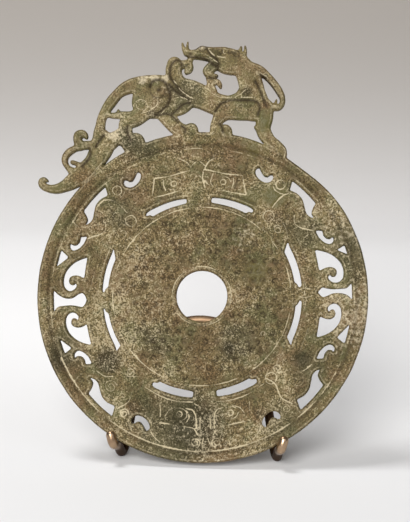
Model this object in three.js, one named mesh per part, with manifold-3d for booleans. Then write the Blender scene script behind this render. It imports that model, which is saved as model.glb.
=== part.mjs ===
// An openwork jade bi disc with a striding chilong carved on its rim, leaning on a small brass wire easel.
// Millimetres, +Z up, the carved front faces -Y. Two brazed easel wires carry one piece of jade.
import * as THREE from "three";
import { mergeVertices } from "three/addons/utils/BufferGeometryUtils.js";
import Module from "manifold-3d";

const wasm = await Module();
wasm.setup();

// ---- Driving dimensions: the disc ----
const DISC_RADIUS = 90;
const HOLE_RADIUS = 13.9;
const DISC_SEGMENTS = 60;
const RIM_INNER = 86;
// Half thickness of the jade at each radius, from the hole's lip to the rounded rim.
const DISC_PROFILE = [
  [HOLE_RADIUS, 2.2],
  [HOLE_RADIUS + 0.7, 2.8],
  [48.3, 2.8],
  [49.5, 2.4],
  [82.6, 2.4],
  [84.4, 3.0],
  [88.5, 3.0],
  [DISC_RADIUS, 1.5],
];
// The rim is a little out of round: [degrees clockwise from the top, loss of radius, half width in degrees].
const RIM_FLATS = [[36, 1.8, 12]];
// The carved pattern repeats by mirroring in each quarter; it sits turned anticlockwise on the easel.
const PATTERN_TURN = 3.3;
const CUT_DEPTH = 8;

// ---- Driving dimensions: the dragon ----
const DRAGON_HALF = 2.6;
const BEVEL_WIDTH = 0.8;
// Rings along a limb stand this many half widths apart, between the two limits.
const LIMB_STEP = 1.0;
const LIMB_STEP_LIMITS = [1.5, 4.6];
const CAP_STEPS = 1;

// ---- Driving dimensions: the lean and the easel ----
const LEAN = 15;
const CENTRE_HEIGHT = 89;
const WIRE_RADIUS = 2.65;
const WIRE_SIDES = 8;
const TOUCH_GAP = 0.3;
const ARCH_TOP_DROP = 12.7;
const ARCH_RADIUS = 34.5;
const LEG_SPLAY = 9.0;
const FOOT_HALF_SPAN = 42.3;
const FOOT_Y = -4;
const FOOT_BEND_RADIUS = 4.2;
const FOOT_CORNER_Z = -1.95;
const HOOK_HALF_SPAN = 45.1;
const HOOK_TIP_HALF_SPAN = 46.4;
const HOOK_DROP = 81.0;
const HOOK_TIP_DROP = 76.1;
const HOOK_STANDOFF = 6.1;
const HOOK_BEND_RADIUS = 3.5;
const ARM_BACK = [43.6, -82.0, -6.0];
const REAR_FOOT_Y = 48;

const rad = THREE.MathUtils.degToRad;

// ---- Solids ----

// A closed three.js geometry as a solid that can be joined and cut.
function solid(geometry) {
  const bare = geometry.index ? geometry.toNonIndexed() : geometry.clone();
  bare.deleteAttribute("normal");
  bare.deleteAttribute("uv");
  const merged = mergeVertices(bare, 1e-4);
  const mesh = new wasm.Mesh({
    numProp: 3,
    vertProperties: new Float32Array(merged.attributes.position.array),
    triVerts: new Uint32Array(merged.index.array),
    tolerance: 0.01,
  });
  const made = new wasm.Manifold(mesh);
  if (made.volume() > 0) return made;
  mesh.triVerts = mesh.triVerts.map((_, i, all) => all[i - (i % 3) + 2 - (i % 3)]);
  return new wasm.Manifold(mesh);
}

// A solid back as a three.js geometry.
function geometryOf(body) {
  const mesh = body.getMesh();
  const count = mesh.vertProperties.length / mesh.numProp;
  const position = new Float32Array(count * 3);
  for (let i = 0; i < count; i += 1) {
    for (let k = 0; k < 3; k += 1) position[3 * i + k] = mesh.vertProperties[mesh.numProp * i + k];
  }
  const geometry = new THREE.BufferGeometry();
  geometry.setAttribute("position", new THREE.BufferAttribute(position, 3));
  geometry.setIndex(new THREE.BufferAttribute(new Uint32Array(mesh.triVerts), 1));
  geometry.computeVertexNormals();
  return geometry;
}

const joined = (bodies) => bodies.reduce((sum, body) => sum.add(body));

// ---- Outlines ----

// A closed outline through control points [x, y, corner?]: smooth between the points marked as corners.
function outline(points, steps = 3) {
  const first = Math.max(0, points.findIndex((p) => p[2]));
  const turned = [...points.slice(first), ...points.slice(0, first)];
  const corners = turned.some((p) => p[2]);
  const at = (p) => new THREE.Vector3(p[0], p[1], 0);
  if (!corners) {
    const loop = new THREE.CatmullRomCurve3(turned.map(at), true, "centripetal");
    return loop.getPoints(turned.length * steps).slice(0, -1);
  }
  const ring = [...turned, turned[0]];
  const result = [];
  let run = [ring[0]];
  for (let i = 1; i < ring.length; i += 1) {
    run.push(ring[i]);
    if (!ring[i][2]) continue;
    const spans = run.length - 1;
    if (spans === 1) {
      result.push(at(run[0]));
    } else {
      const curve = new THREE.CatmullRomCurve3(run.map(at), false, "centripetal");
      result.push(...curve.getPoints(spans * steps).slice(0, -1));
    }
    run = [ring[i]];
  }
  return result;
}

// A straight-sided cutter through the whole thickness.
function cutter(points) {
  const shape = new THREE.Shape(points.map((p) => new THREE.Vector2(p.x, p.y)));
  const prism = new THREE.ExtrudeGeometry(shape, { depth: 2 * CUT_DEPTH, bevelEnabled: false });
  return solid(prism.translate(0, 0, -CUT_DEPTH));
}

// Pattern coordinates: degrees from the upright axis of the pattern and radius, in one of its mirrored quarters.
const QUARTERS = {
  upperRight: (a) => a,
  lowerRight: (a) => 180 - a,
  lowerLeft: (a) => 180 + a,
  upperLeft: (a) => -a,
};
function patternPoint(quarter, [a, r, corner]) {
  const angle = rad(QUARTERS[quarter](a) - PATTERN_TURN);
  return [r * Math.sin(angle), r * Math.cos(angle), corner];
}
function patternCut(quarter, points, steps) {
  return cutter(outline(points.map((p) => patternPoint(quarter, p)), steps));
}

// An arc as control points every few degrees.
function arc(from, to, radiusFrom, radiusTo, count = 3) {
  return Array.from({ length: count }, (_, i) => {
    const t = (i + 1) / (count + 1);
    return [from + (to - from) * t, radiusFrom + (radiusTo - radiusFrom) * t];
  });
}

// Thin slot above or below the inner disc: square start, stepped far end.
function axisSlot({ start, end, inner, outer }) {
  return [
    [start, inner + 0.3, 1],
    ...arc(start, end - 3, inner, inner),
    [end - 3, inner, 1],
    [end - 2.4, inner + 1.3],
    [end, inner + 1.9, 1],
    [end - 0.3, outer + 0.1],
    [end - 2.4, outer + 0.6],
    ...arc(end - 2.4, start, outer + 0.6, outer),
    [start, outer - 0.2, 1],
  ];
}

// Thin slot at the sides: slanted start, stepped near end.
function sideSlot({ start, slant, end, inner, outer }) {
  return [
    [start, outer + 1.1, 1],
    [start + slant, inner, 1],
    ...arc(start + slant, end - 3.4, inner, inner),
    [end - 3.4, inner, 1],
    [end - 2.4, inner + 1.2],
    [end - 0.3, inner + 1.9],
    [end, inner + 2.6],
    [end - 1.2, outer, 1],
    ...arc(end - 1.2, start + 3, outer, outer + 0.2),
    [start + 3, outer + 0.3],
  ];
}

// Small U opening outwards round a tongue.
function tongueSlot({ a, r }) {
  return [
    [a - 3.3, r + 2.0, 1],
    [a - 4.2, r],
    [a - 2.9, r - 2.7],
    [a - 0.4, r - 4.1],
    [a + 2.3, r - 3.9],
    [a + 3.9, r - 1.8],
    [a + 3.9, r + 0.6],
    [a + 3.1, r + 1.7, 1],
    [a + 2.2, r + 0.9],
    [a + 1.7, r - 0.6],
    [a + 0.4, r - 1.3, 1],
    [a - 1.1, r - 0.3],
    [a - 2.1, r + 0.7, 1],
  ];
}

// Long opening under the rim beside the large spiral, ending in a small hook.
function crescent({ a, r, top }) {
  return [
    [a, top, 1],
    ...arc(a, a + 12.8, top, top),
    [a + 12.8, top, 1],
    [a + 13.6, r + 1.5],
    [a + 15.0, r - 0.9],
    [a + 17.3, r - 1.0, 1],
    [a + 16.2, r - 2.3],
    [a + 13.8, r - 3.0],
    [a + 10.6, r - 1.2],
    [a + 8.0, r + 0.4],
    [a + 5.0, r + 0.7],
    [a + 1.6, r - 0.5, 1],
  ];
}

// Comma-shaped hook between the crescent and the large comma.
function hook({ a, r }) {
  return [
    [a - 0.4, r - 0.1, 1],
    [a + 3.2, r - 0.2, 1],
    [a + 6.2, r + 1.4],
    [a + 7.7, r + 4.0],
    [a + 6.9, r + 6.3],
    [a + 5.2, r + 7.0, 1],
    [a + 5.7, r + 5.0],
    [a + 4.8, r + 3.2],
    [a + 2.8, r + 2.6],
    [a + 1.2, r + 3.4, 1],
  ];
}

// Large comma wrapped round an inner curl; lift stretches it towards the rim.
function comma({ a, r, lift }) {
  const up = (h) => r + h * lift;
  return [
    [a, up(0.5), 1],
    [a + 5, r - 0.2],
    [a + 10.3, r - 0.6, 1],
    [a + 9.5, up(2.5)],
    [a + 9.7, up(5.2)],
    [a + 10.9, up(7.3)],
    [a + 12.6, up(7.6)],
    [a + 14.0, up(6.4)],
    [a + 13.9, up(4.9)],
    [a + 12.7, up(4.1), 1],
    [a + 14.0, up(3.0)],
    [a + 15.8, up(4.1)],
    [a + 16.7, up(6.9)],
    [a + 15.3, up(9.8)],
    [a + 12.3, up(10.9)],
    [a + 8.7, up(10.3)],
    [a + 4.6, up(7.3)],
    [a + 1.7, up(3.4)],
  ];
}

// Triangle between the comma's back and the rim.
const spandrel = ({ a, width, tip, top, foot }) => [
  [a, top, 1],
  [a + width, top, 1],
  [a + tip, foot, 1],
];

// One flank of the waisted opening on the cross axis, from the rim to its inner point.
const flank = ({ waist, wide }) => [
  [wide, 81.4, 1],
  [wide + 1.9, 78.7],
  [waist, 75.2],
  [waist, 71.0],
  [wide + 1.5, 67.4],
  [wide + 0.9, 65.4, 1],
  [wide + 2.4, 63.7],
];

// What differs a little from quarter to quarter, as the hand-cut openings do.
const OPENWORK = {
  upperRight: {
    axis: { start: 7.2, end: 33.0, inner: 51.1, outer: 54.4 },
    side: { start: 59.0, slant: 4.6, end: 86.8, inner: 50.8, outer: 54.4 },
    tongue: { a: 28.9, r: 74.9 },
    crescent: { a: 39.8, r: 75.4, top: 79.9 },
    hook: { a: 62.0, r: 71.2 },
    comma: { a: 69.4, r: 65.7, lift: 1.12 },
    spandrel: { a: 72.0, width: 3.8, tip: 0.9, top: 82.1, foot: 77.3 },
    flank: { waist: 88.7, wide: 86.6 },
  },
  lowerRight: {
    axis: { start: 6.9, end: 31.6, inner: 51.3, outer: 54.9 },
    side: { start: 59.2, slant: 3.4, end: 86.0, inner: 51.1, outer: 54.2 },
    tongue: { a: 27.7, r: 76.8 },
    crescent: { a: 39.3, r: 76.3, top: 81.2 },
    hook: { a: 60.0, r: 70.6 },
    comma: { a: 68.4, r: 65.4, lift: 0.98 },
    spandrel: { a: 69.8, width: 7.6, tip: 1.4, top: 81.3, foot: 76.3 },
    flank: { waist: 89.4, wide: 86.7 },
  },
  lowerLeft: {
    axis: { start: 6.6, end: 31.2, inner: 51.5, outer: 55.1 },
    side: { start: 58.8, slant: 1.6, end: 84.8, inner: 51.6, outer: 54.2 },
    tongue: { a: 27.3, r: 76.9 },
    crescent: { a: 38.4, r: 76.3, top: 81.2 },
    hook: { a: 60.4, r: 70.0 },
    comma: { a: 68.0, r: 65.1, lift: 0.98 },
    spandrel: { a: 69.0, width: 6.0, tip: 1.0, top: 81.0, foot: 76.2 },
    flank: { waist: 87.8, wide: 85.6 },
  },
  upperLeft: {
    axis: { start: 7.4, end: 33.0, inner: 51.2, outer: 54.4 },
    side: { start: 59.0, slant: 6.0, end: 86.2, inner: 51.3, outer: 54.5 },
    tongue: { a: 29.1, r: 75.1 },
    crescent: { a: 39.7, r: 76.2, top: 80.4 },
    hook: { a: 61.0, r: 70.9 },
    comma: { a: 69.3, r: 65.6, lift: 0.98 },
    spandrel: { a: 70.0, width: 7.0, tip: 2.0, top: 81.4, foot: 76.0 },
    flank: { waist: 89.0, wide: 85.6 },
  },
};
const BOW_TIES = [
  ["upperRight", "lowerRight"],
  ["lowerLeft", "upperLeft"],
];
const BOW_TIE_POINT = 62.8;

function openings() {
  const cuts = [];
  for (const [quarter, sizes] of Object.entries(OPENWORK)) {
    cuts.push(patternCut(quarter, axisSlot(sizes.axis), 2));
    cuts.push(patternCut(quarter, sideSlot(sizes.side), 2));
    cuts.push(patternCut(quarter, tongueSlot(sizes.tongue), 2));
    cuts.push(patternCut(quarter, crescent(sizes.crescent), 2));
    cuts.push(patternCut(quarter, hook(sizes.hook), 2));
    cuts.push(patternCut(quarter, comma(sizes.comma), 2));
    cuts.push(patternCut(quarter, spandrel(sizes.spandrel), 1));
  }
  for (const [one, other] of BOW_TIES) {
    const down = flank(OPENWORK[one].flank).map((p) => patternPoint(one, p));
    const up = flank(OPENWORK[other].flank).map((p) => patternPoint(other, p)).reverse();
    const point = patternPoint(one, [90, BOW_TIE_POINT, 1]);
    cuts.push(cutter(outline([...down, point, ...up], 2)));
  }
  return joined(cuts);
}

// The disc turned on a lathe: hole lip, inner disc, sunk band and raised rim, the same on both faces.
function disc() {
  const front = DISC_PROFILE.map(([r, h]) => new THREE.Vector2(r, h));
  const back = DISC_PROFILE.map(([r, h]) => new THREE.Vector2(r, -h)).reverse();
  const profile = [...front, ...back, front[0].clone()];
  const lathe = new THREE.LatheGeometry(profile, DISC_SEGMENTS).rotateX(Math.PI / 2);
  const position = lathe.attributes.position;
  for (let i = 0; i < position.count; i += 1) {
    const [x, y] = [position.getX(i), position.getY(i)];
    const radius = Math.hypot(x, y);
    if (radius < RIM_INNER) continue;
    const angle = THREE.MathUtils.radToDeg(Math.atan2(x, y));
    const loss = RIM_FLATS.reduce((sum, [at, depth, width]) => {
      const off = (angle - at) / width;
      return sum + depth * Math.exp(-off * off);
    }, 0);
    const scale = (radius - loss) / radius;
    position.setXY(i, x * scale, y * scale);
  }
  return solid(lathe);
}

// ---- The dragon: bevelled tapering limbs, each a spine of [x, y, half width] ----
const LIMBS = {
  snout: [[-12.2, 133.9, 1.9], [-8.5, 133.2, 2.5], [-3.5, 133.8, 3.7], [2, 133.2, 4.2], [8, 132.4, 5.2]],
  snoutSpike: [[-12.4, 134.0, 1.9], [-14.0, 136.2, 1.1], [-14.9, 139.4, 0.55]],
  noseSpike: [[-12.0, 135.6, 1.2], [-12.1, 138.0, 0.6], [-11.8, 140.0, 0.5]],
  brow: [[-4.0, 135.9, 2.2], [-1.5, 134.8, 2.4]],
  skull: [[4, 132.2, 5.0], [10, 129.9, 7.2], [15.5, 128.6, 6.7]],
  ear: [[9, 133.5, 3.6], [14.5, 132.8, 3.2], [18.4, 132.8, 1.9]],
  horn: [[16.5, 131.0, 2.2], [19.3, 133.3, 1.4], [20.0, 136.0, 0.8], [19.8, 138.0, 0.6]],
  hornCurl: [[16.0, 133.5, 2.0], [17.3, 136.0, 0.9], [17.6, 137.6, 0.7]],
  neck: [[18.8, 126.8, 5.4], [22.2, 120.5, 6.3], [24.0, 114.0, 7.0], [23.0, 107.5, 8.6]],
  mane: [[22.5, 126.8, 3.0], [28.0, 124.9, 2.7], [32.6, 121.4, 2.15], [36.6, 117.0, 2.05],
    [39.6, 112.6, 1.95], [41.0, 109.3, 1.6], [40.8, 106.5, 1.5], [39.0, 104.5, 1.7], [36.0, 104.6, 1.9]],
  maneTip: [[37.0, 105.8, 1.0], [37.8, 108.8, 0.5]],
  maneRoot: [[26.4, 121.0, 2.6], [29.0, 114.5, 1.9], [31.2, 108.0, 2.4]],
  jaw: [[3.8, 128.2, 3.2], [1.2, 125.8, 3.0], [-0.6, 123.7, 2.6], [1.2, 121.8, 1.9], [3.6, 121.2, 1.3],
    [4.8, 121.5, 0.8]],
  beard: [[2.2, 112.6, 3.0], [1.4, 115.6, 2.4], [2.6, 118.0, 1.9], [5.0, 118.1, 1.6], [6.5, 116.4, 1.3],
    [6.9, 114.9, 0.7]],
  beardLink: [[0.7, 121.6, 2.3], [1.5, 118.4, 2.4]],
  barrel: [[-15.5, 114.6, 5.6], [-9.5, 111.7, 7.2], [-3.0, 109.4, 6.6], [4.5, 105.9, 6.1], [12.0, 103.6, 6.5]],
  chest: [[6.5, 104.6, 5.2], [14.0, 103.4, 6.1], [22.0, 103.2, 6.2], [28.0, 103.2, 6.4], [31.0, 104.0, 5.4]],
  throat: [[8.0, 106.0, 4.0], [14.5, 106.9, 4.4], [19.5, 110.0, 4.0]],
  foreleg: [[8.6, 101.0, 4.6], [5.9, 96.8, 3.1], [4.9, 93.0, 3.1], [5.8, 88.6, 3.9]],
  forepaw: [[6.5, 91.4, 2.7], [10.6, 91.2, 3.1], [11.6, 89.0, 2.6]],
  leadLeg: [[31.4, 104.0, 4.9], [31.6, 98.5, 4.5], [30.8, 93.2, 4.1], [31.9, 89.6, 3.9], [34.6, 86.0, 3.4],
    [38.6, 83.0, 3.1], [41.2, 80.2, 2.9], [41.6, 76.5, 2.4]],
  knee: [[29.0, 92.6, 2.4], [26.2, 93.3, 0.6]],
  crest: [[-14.0, 115.6, 3.9], [-18.0, 119.0, 4.5], [-19.3, 124.0, 4.4], [-18.9, 127.6, 4.1]],
  crestCurl: [[-17.3, 126.0, 2.6], [-14.0, 127.6, 2.2], [-11.2, 127.2, 2.5], [-10.9, 124.8, 2.2],
    [-12.2, 123.2, 1.3]],
  crestLink: [[-11.2, 128.0, 2.0], [-10.2, 130.4, 1.6], [-9.8, 132.6, 1.5]],
  saddle: [[-23.0, 116.0, 5.0], [-18.6, 113.6, 6.2], [-20.6, 107.6, 7.0]],
  rump: [[-24.0, 114.8, 6.4], [-31.0, 114.2, 7.0], [-36.0, 113.0, 5.6]],
  haunch: [[-35.2, 109.4, 6.2], [-35.0, 104.5, 6.3], [-29.5, 102.9, 5.8], [-24.0, 104.0, 6.0]],
  thigh: [[-35.0, 100.6, 4.8], [-39.6, 97.0, 4.6], [-44.4, 94.2, 3.9], [-45.4, 89.6, 3.2], [-45.8, 85.0, 3.8]],
  hindPaw: [[-44.0, 84.2, 3.2], [-38.2, 85.2, 3.5], [-36.0, 82.8, 2.6]],
  hindLeg: [[-25.0, 101.5, 4.6], [-20.6, 96.4, 4.4], [-16.4, 92.0, 4.0], [-10.5, 89.2, 4.0]],
  hindLegPaw: [[-10.6, 89.8, 3.6], [-8.4, 91.3, 3.6], [-7.9, 88.8, 3.4]],
  belly: [[-22.0, 103.0, 4.6], [-15.4, 104.0, 4.8], [-9.5, 108.7, 4.6]],
  backArch: [[-27.0, 118.9, 2.2], [-34.0, 117.5, 3.5], [-41.3, 115.3, 4.1], [-45.3, 113.7, 3.6],
    [-49.1, 111.0, 2.9], [-53.4, 105.6, 3.0], [-56.4, 100.6, 2.6], [-58.2, 96.0, 2.5], [-58.8, 92.0, 2.7],
    [-59.2, 88.0, 3.3]],
  bridge: [[-57.0, 99.7, 1.6], [-52.6, 98.3, 1.5], [-48.5, 98.6, 2.0], [-42.0, 98.2, 2.6]],
  bridgeCurl: [[-49.0, 99.4, 1.3], [-49.0, 101.4, 0.6]],
  tail: [[-58.6, 88.0, 3.6], [-57.0, 82.6, 6.4], [-58.8, 77.0, 6.0], [-62.0, 71.6, 5.2], [-67.0, 66.0, 5.4],
    [-72.6, 61.6, 4.4], [-77.5, 58.5, 3.2], [-82.0, 56.9, 2.6], [-86.5, 57.2, 2.1], [-89.4, 58.8, 2.1],
    [-90.0, 61.0, 1.8], [-88.6, 61.9, 1.4], [-86.9, 61.2, 0.7]],
  tailFill: [[-44.5, 89.5, 3.6], [-49.0, 86.6, 3.6], [-53.0, 83.6, 4.6]],
  rootFill: [[-64.0, 65.4, 3.0], [-60.8, 69.4, 3.4]],
  heelFill: [[-44.0, 88.0, 2.6], [-43.4, 82.4, 3.4], [-39.4, 80.2, 4.4]],
  ball: [[-69.6, 81.2, 2.9], [-71.1, 84.4, 2.3], [-70.7, 86.9, 2.5], [-68.6, 87.8, 2.2], [-66.9, 87.0, 1.6],
    [-66.2, 85.6, 0.9]],
  tendril: [[-61.5, 81.6, 2.6], [-67.0, 80.9, 1.9], [-72.0, 79.6, 1.8], [-75.8, 77.2, 2.0], [-77.6, 74.4, 1.8],
    [-77.5, 71.4, 1.6], [-75.8, 68.8, 1.5], [-72.8, 66.4, 2.4]],
  tendrilRoot: [[-63.0, 82.2, 1.9], [-70.0, 81.9, 1.7]],
  bud: [[-67.5, 69.0, 2.0], [-71.0, 71.2, 1.2], [-73.4, 71.8, 1.3]],
};

// Stations along a curve whose third coordinate is the half width, closer together where the limb is slim.
function limbStations(curve) {
  const length = curve.getLength();
  const places = [0];
  while (places.at(-1) < length) {
    const here = curve.getPointAt(places.at(-1) / length);
    places.push(places.at(-1) + THREE.MathUtils.clamp(LIMB_STEP * here.z, ...LIMB_STEP_LIMITS));
  }
  return places.map((s) => curve.getPointAt(s / places.at(-1)));
}

// One limb: the outline of its spine's two flanks and round ends, full width half way through the jade and
// bevelled towards both faces.
function limb(spine) {
  const curve = new THREE.CatmullRomCurve3(
    spine.map(([x, y, w]) => new THREE.Vector3(x, y, w)), false, "centripetal",
  );
  const stations = limbStations(curve);
  const steps = stations.length - 1;
  const flat = (v) => new THREE.Vector2(v.x, v.y);
  const normals = stations.map((_, i) => {
    const ahead = flat(stations[Math.min(i + 1, steps)]);
    const along = ahead.sub(flat(stations[Math.max(i - 1, 0)])).normalize();
    return new THREE.Vector2(-along.y, along.x);
  });
  // The same ring of points for any inset: left flank, end cap, right flank, start cap.
  const ring = (inset) => {
    const points = [];
    const put = (i, angle) => {
      const w = Math.max(stations[i].z - inset, 0.3 * stations[i].z);
      const side = normals[i].clone().rotateAround(new THREE.Vector2(), angle);
      points.push(flat(stations[i]).addScaledVector(side, w));
    };
    for (let i = 0; i <= steps; i += 1) put(i, 0);
    for (let k = 1; k <= CAP_STEPS; k += 1) put(steps, (-Math.PI * k) / (CAP_STEPS + 1));
    for (let i = steps; i >= 0; i -= 1) put(i, Math.PI);
    for (let k = 1; k <= CAP_STEPS; k += 1) put(0, Math.PI - (Math.PI * k) / (CAP_STEPS + 1));
    return points;
  };
  const levels = [
    [ring(BEVEL_WIDTH), -DRAGON_HALF],
    [ring(0), 0],
    [ring(BEVEL_WIDTH), DRAGON_HALF],
  ];
  const size = levels[0][0].length;
  const positions = levels.flatMap(([points, z]) => points.flatMap((p) => [p.x, p.y, z]));
  const index = [];
  for (let level = 0; level < levels.length - 1; level += 1) {
    for (let i = 0; i < size; i += 1) {
      const j = (i + 1) % size;
      const [a, b] = [level * size + i, level * size + j];
      index.push(a, b + size, b, a, a + size, b + size);
    }
  }
  // The faces: a strip between the flanks and a fan over each round end.
  const right = (i) => 2 * steps + 1 + CAP_STEPS - i;
  const face = [];
  for (let i = 0; i < steps; i += 1) {
    face.push([i, i + 1, right(i + 1)], [i, right(i + 1), right(i)]);
  }
  for (let k = 0; k < CAP_STEPS; k += 1) {
    face.push([steps, steps + 1 + k, steps + 2 + k]);
    face.push([right(0), right(0) + 1 + k, (right(0) + 2 + k) % size]);
  }
  const lid = (levels.length - 1) * size;
  for (const [a, b, c] of face) {
    index.push(a, b, c);
    index.push(lid + a, lid + c, lid + b);
  }
  const geometry = new THREE.BufferGeometry();
  geometry.setAttribute("position", new THREE.Float32BufferAttribute(positions, 3));
  geometry.setIndex(index);
  return solid(geometry);
}

// ---- The easel ----

// A curve whose rings stand exactly at its own points, close together only in the bends.
class WireCurve extends THREE.CatmullRomCurve3 {
  getUtoTmapping(u) {
    return u;
  }
}

// Points along a polyline whose corners [point, radius] are rounded by arcs.
function rounded(corners, arcSteps = 4) {
  const path = [corners[0][0]];
  for (let i = 1; i < corners.length - 1; i += 1) {
    const [corner, radius] = corners[i];
    const to = corners[i - 1][0].clone().sub(corner).normalize();
    const from = corners[i + 1][0].clone().sub(corner).normalize();
    const half = to.angleTo(from) / 2;
    const reach = radius / Math.tan(half);
    const middle = to.clone().add(from).normalize();
    const centre = corner.clone().addScaledVector(middle, radius / Math.sin(half));
    const start = corner.clone().addScaledVector(to, reach).sub(centre);
    const end = corner.clone().addScaledVector(from, reach).sub(centre);
    const sweep = start.angleTo(end);
    const axis = start.clone().cross(end).normalize();
    for (let k = 0; k <= arcSteps; k += 1) {
      path.push(start.clone().applyAxisAngle(axis, (sweep * k) / arcSteps).add(centre));
    }
  }
  path.push(corners.at(-1)[0]);
  return path;
}

// Round wire along a path, with a domed tip where asked.
function wire(path, domes) {
  const section = new THREE.Shape(
    Array.from({ length: WIRE_SIDES }, (_, k) => {
      const angle = (2 * Math.PI * k) / WIRE_SIDES;
      return new THREE.Vector2(WIRE_RADIUS * Math.cos(angle), WIRE_RADIUS * Math.sin(angle));
    }),
  );
  const curve = new WireCurve(path, false, "centripetal");
  const tube = new THREE.ExtrudeGeometry(section, { steps: path.length - 1, extrudePath: curve });
  const tips = domes.map((tip) => {
    const ball = new THREE.SphereGeometry(WIRE_RADIUS, WIRE_SIDES, 4);
    return solid(ball.rotateX(Math.PI / 2).translate(tip.x, tip.y, tip.z));
  });
  return joined([solid(tube), ...tips]);
}

// Disc-plane coordinates (right, up the disc, out of its front) to the standing frame.
function leaned([x, up, out]) {
  const s = Math.sin(rad(LEAN));
  const c = Math.cos(rad(LEAN));
  return new THREE.Vector3(x, up * s - out * c, CENTRE_HEIGHT + up * c + out * s);
}

const archTop = leaned([0, -ARCH_TOP_DROP, -(DISC_PROFILE[1][1] + TOUCH_GAP + WIRE_RADIUS)]);
const frameDown = new THREE.Vector3(0, FOOT_Y - archTop.y, WIRE_RADIUS - archTop.z).normalize();

// The front wire: hook, arm, foot, leg and half of the arch, then the same mirrored.
function frontWire() {
  const side = rounded([
    [leaned([HOOK_TIP_HALF_SPAN, -HOOK_TIP_DROP, HOOK_STANDOFF]), 0],
    [leaned([HOOK_HALF_SPAN, -HOOK_DROP, HOOK_STANDOFF]), HOOK_BEND_RADIUS],
    [leaned(ARM_BACK), 12],
    [new THREE.Vector3(FOOT_HALF_SPAN, FOOT_Y, FOOT_CORNER_Z), FOOT_BEND_RADIUS],
    [archPoint(90 - LEG_SPLAY), 0],
  ]);
  const arch = [];
  for (let angle = 68; angle >= 17; angle -= 17) arch.push(archPoint(angle));
  const right = [...side, ...arch];
  const left = right.map((p) => new THREE.Vector3(-p.x, p.y, p.z)).reverse();
  const path = [...right, archPoint(0), ...left];
  return wire(path, [path[0], path.at(-1)]);
}

// A point of the arch, by the angle from its top.
function archPoint(angle) {
  const across = ARCH_RADIUS * Math.sin(rad(angle));
  const down = ARCH_RADIUS * (1 - Math.cos(rad(angle)));
  return archTop.clone().addScaledVector(frameDown, down).setX(across);
}

// The straight rear leg, butted against the back of the arch and ending in a domed foot.
function rearLeg() {
  const foot = new THREE.Vector3(0, REAR_FOOT_Y, WIRE_RADIUS);
  const along = foot.clone().sub(archTop).normalize();
  const start = archTop.clone().addScaledVector(along, WIRE_RADIUS + TOUCH_GAP);
  return wire([start, start.clone().lerp(foot, 0.5), foot], [foot]);
}

// ---- The scene graph ----
const jade = new THREE.MeshStandardMaterial({ color: 0x7c7350, roughness: 0.55, metalness: 0 });
const brass = new THREE.MeshStandardMaterial({ color: 0xb08a62, roughness: 0.25, metalness: 1 });

const bi = disc().subtract(openings()).add(joined(Object.values(LIMBS).map(limb)));

const biMesh = new THREE.Mesh(geometryOf(bi), jade);
biMesh.name = "jade_bi";
const leaning = new THREE.Group();
leaning.rotation.x = rad(90 - LEAN);
leaning.position.z = CENTRE_HEIGHT;
leaning.add(biMesh);

const frontMesh = new THREE.Mesh(geometryOf(frontWire()), brass);
frontMesh.name = "easel_front_wire";
const rearMesh = new THREE.Mesh(geometryOf(rearLeg()), brass);
rearMesh.name = "easel_rear_leg";

// The origin is on the ground under the middle of the whole piece.
const placed = new THREE.Group();
placed.add(leaning, frontMesh, rearMesh);
const part = new THREE.Group();
part.add(placed);
part.updateMatrixWorld(true);
const box = new THREE.Box3().setFromObject(part, true);
placed.position.set(-(box.min.x + box.max.x) / 2, -(box.min.y + box.max.y) / 2, -box.min.z);

export default part;
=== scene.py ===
"""A weathered openwork jade bi disc with a dragon striding over its rim, standing on a brass wire easel.

The jade is one closed surface over its own outline: a height in front of and behind the disc's middle
plane, worked out at every point from the distance to the edge, the thickness of the disc at that radius,
the swell of the dragon's limbs and the depth of the carved lines. Lengths are millimetres until a mesh is
written.
"""

import logging
import math
from dataclasses import dataclass, field, replace
from enum import Enum

import bpy
import numpy as np
from mathutils import Matrix, Vector
from mathutils.geometry import delaunay_2d_cdt

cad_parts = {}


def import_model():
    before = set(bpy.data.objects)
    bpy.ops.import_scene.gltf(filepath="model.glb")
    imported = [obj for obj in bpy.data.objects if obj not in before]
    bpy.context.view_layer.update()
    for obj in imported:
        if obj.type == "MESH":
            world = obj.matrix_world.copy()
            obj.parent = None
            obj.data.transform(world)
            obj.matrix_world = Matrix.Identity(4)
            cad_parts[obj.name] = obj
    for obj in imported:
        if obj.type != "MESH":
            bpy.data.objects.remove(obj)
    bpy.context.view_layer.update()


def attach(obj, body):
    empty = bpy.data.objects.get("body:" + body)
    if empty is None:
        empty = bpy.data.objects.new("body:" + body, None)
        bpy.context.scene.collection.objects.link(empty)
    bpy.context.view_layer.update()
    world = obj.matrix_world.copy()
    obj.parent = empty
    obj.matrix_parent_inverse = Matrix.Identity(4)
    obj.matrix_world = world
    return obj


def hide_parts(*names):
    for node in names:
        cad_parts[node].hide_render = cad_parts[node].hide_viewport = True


log = logging.getLogger("jade_bi")

MM = 0.001
TINY = 1e-9
LEAN = math.radians(15.0)
DISC_CENTRE = np.array([0.960, -10.912, 89.003])
DISC_RADIUS = 89.95
HOLE_RADIUS = 13.9
PATTERN_TURN = math.radians(3.3)
OUTSIDE = -6.0  # the depth or height given to points away from a form
CURVE_STEPS = 6
PLAIN_HALF_WIDTH = 0.42
CONVEX_HULL = 0
DOUBLINGS = 15  # enough for chains of 2 to the 15th points
SHORTEST_CHAIN = 12
KEY_STRIDE = 100003


class Quarter(Enum):
    """A mirrored quarter of the carved pattern: (mirror sign, counted from the bottom)."""

    UPPER_RIGHT = (1, False)
    LOWER_RIGHT = (1, True)
    LOWER_LEFT = (-1, True)
    UPPER_LEFT = (-1, False)

    @property
    def lower(self) -> bool:
        """True in the two quarters below the cross axis."""
        return self.value[1]


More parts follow.
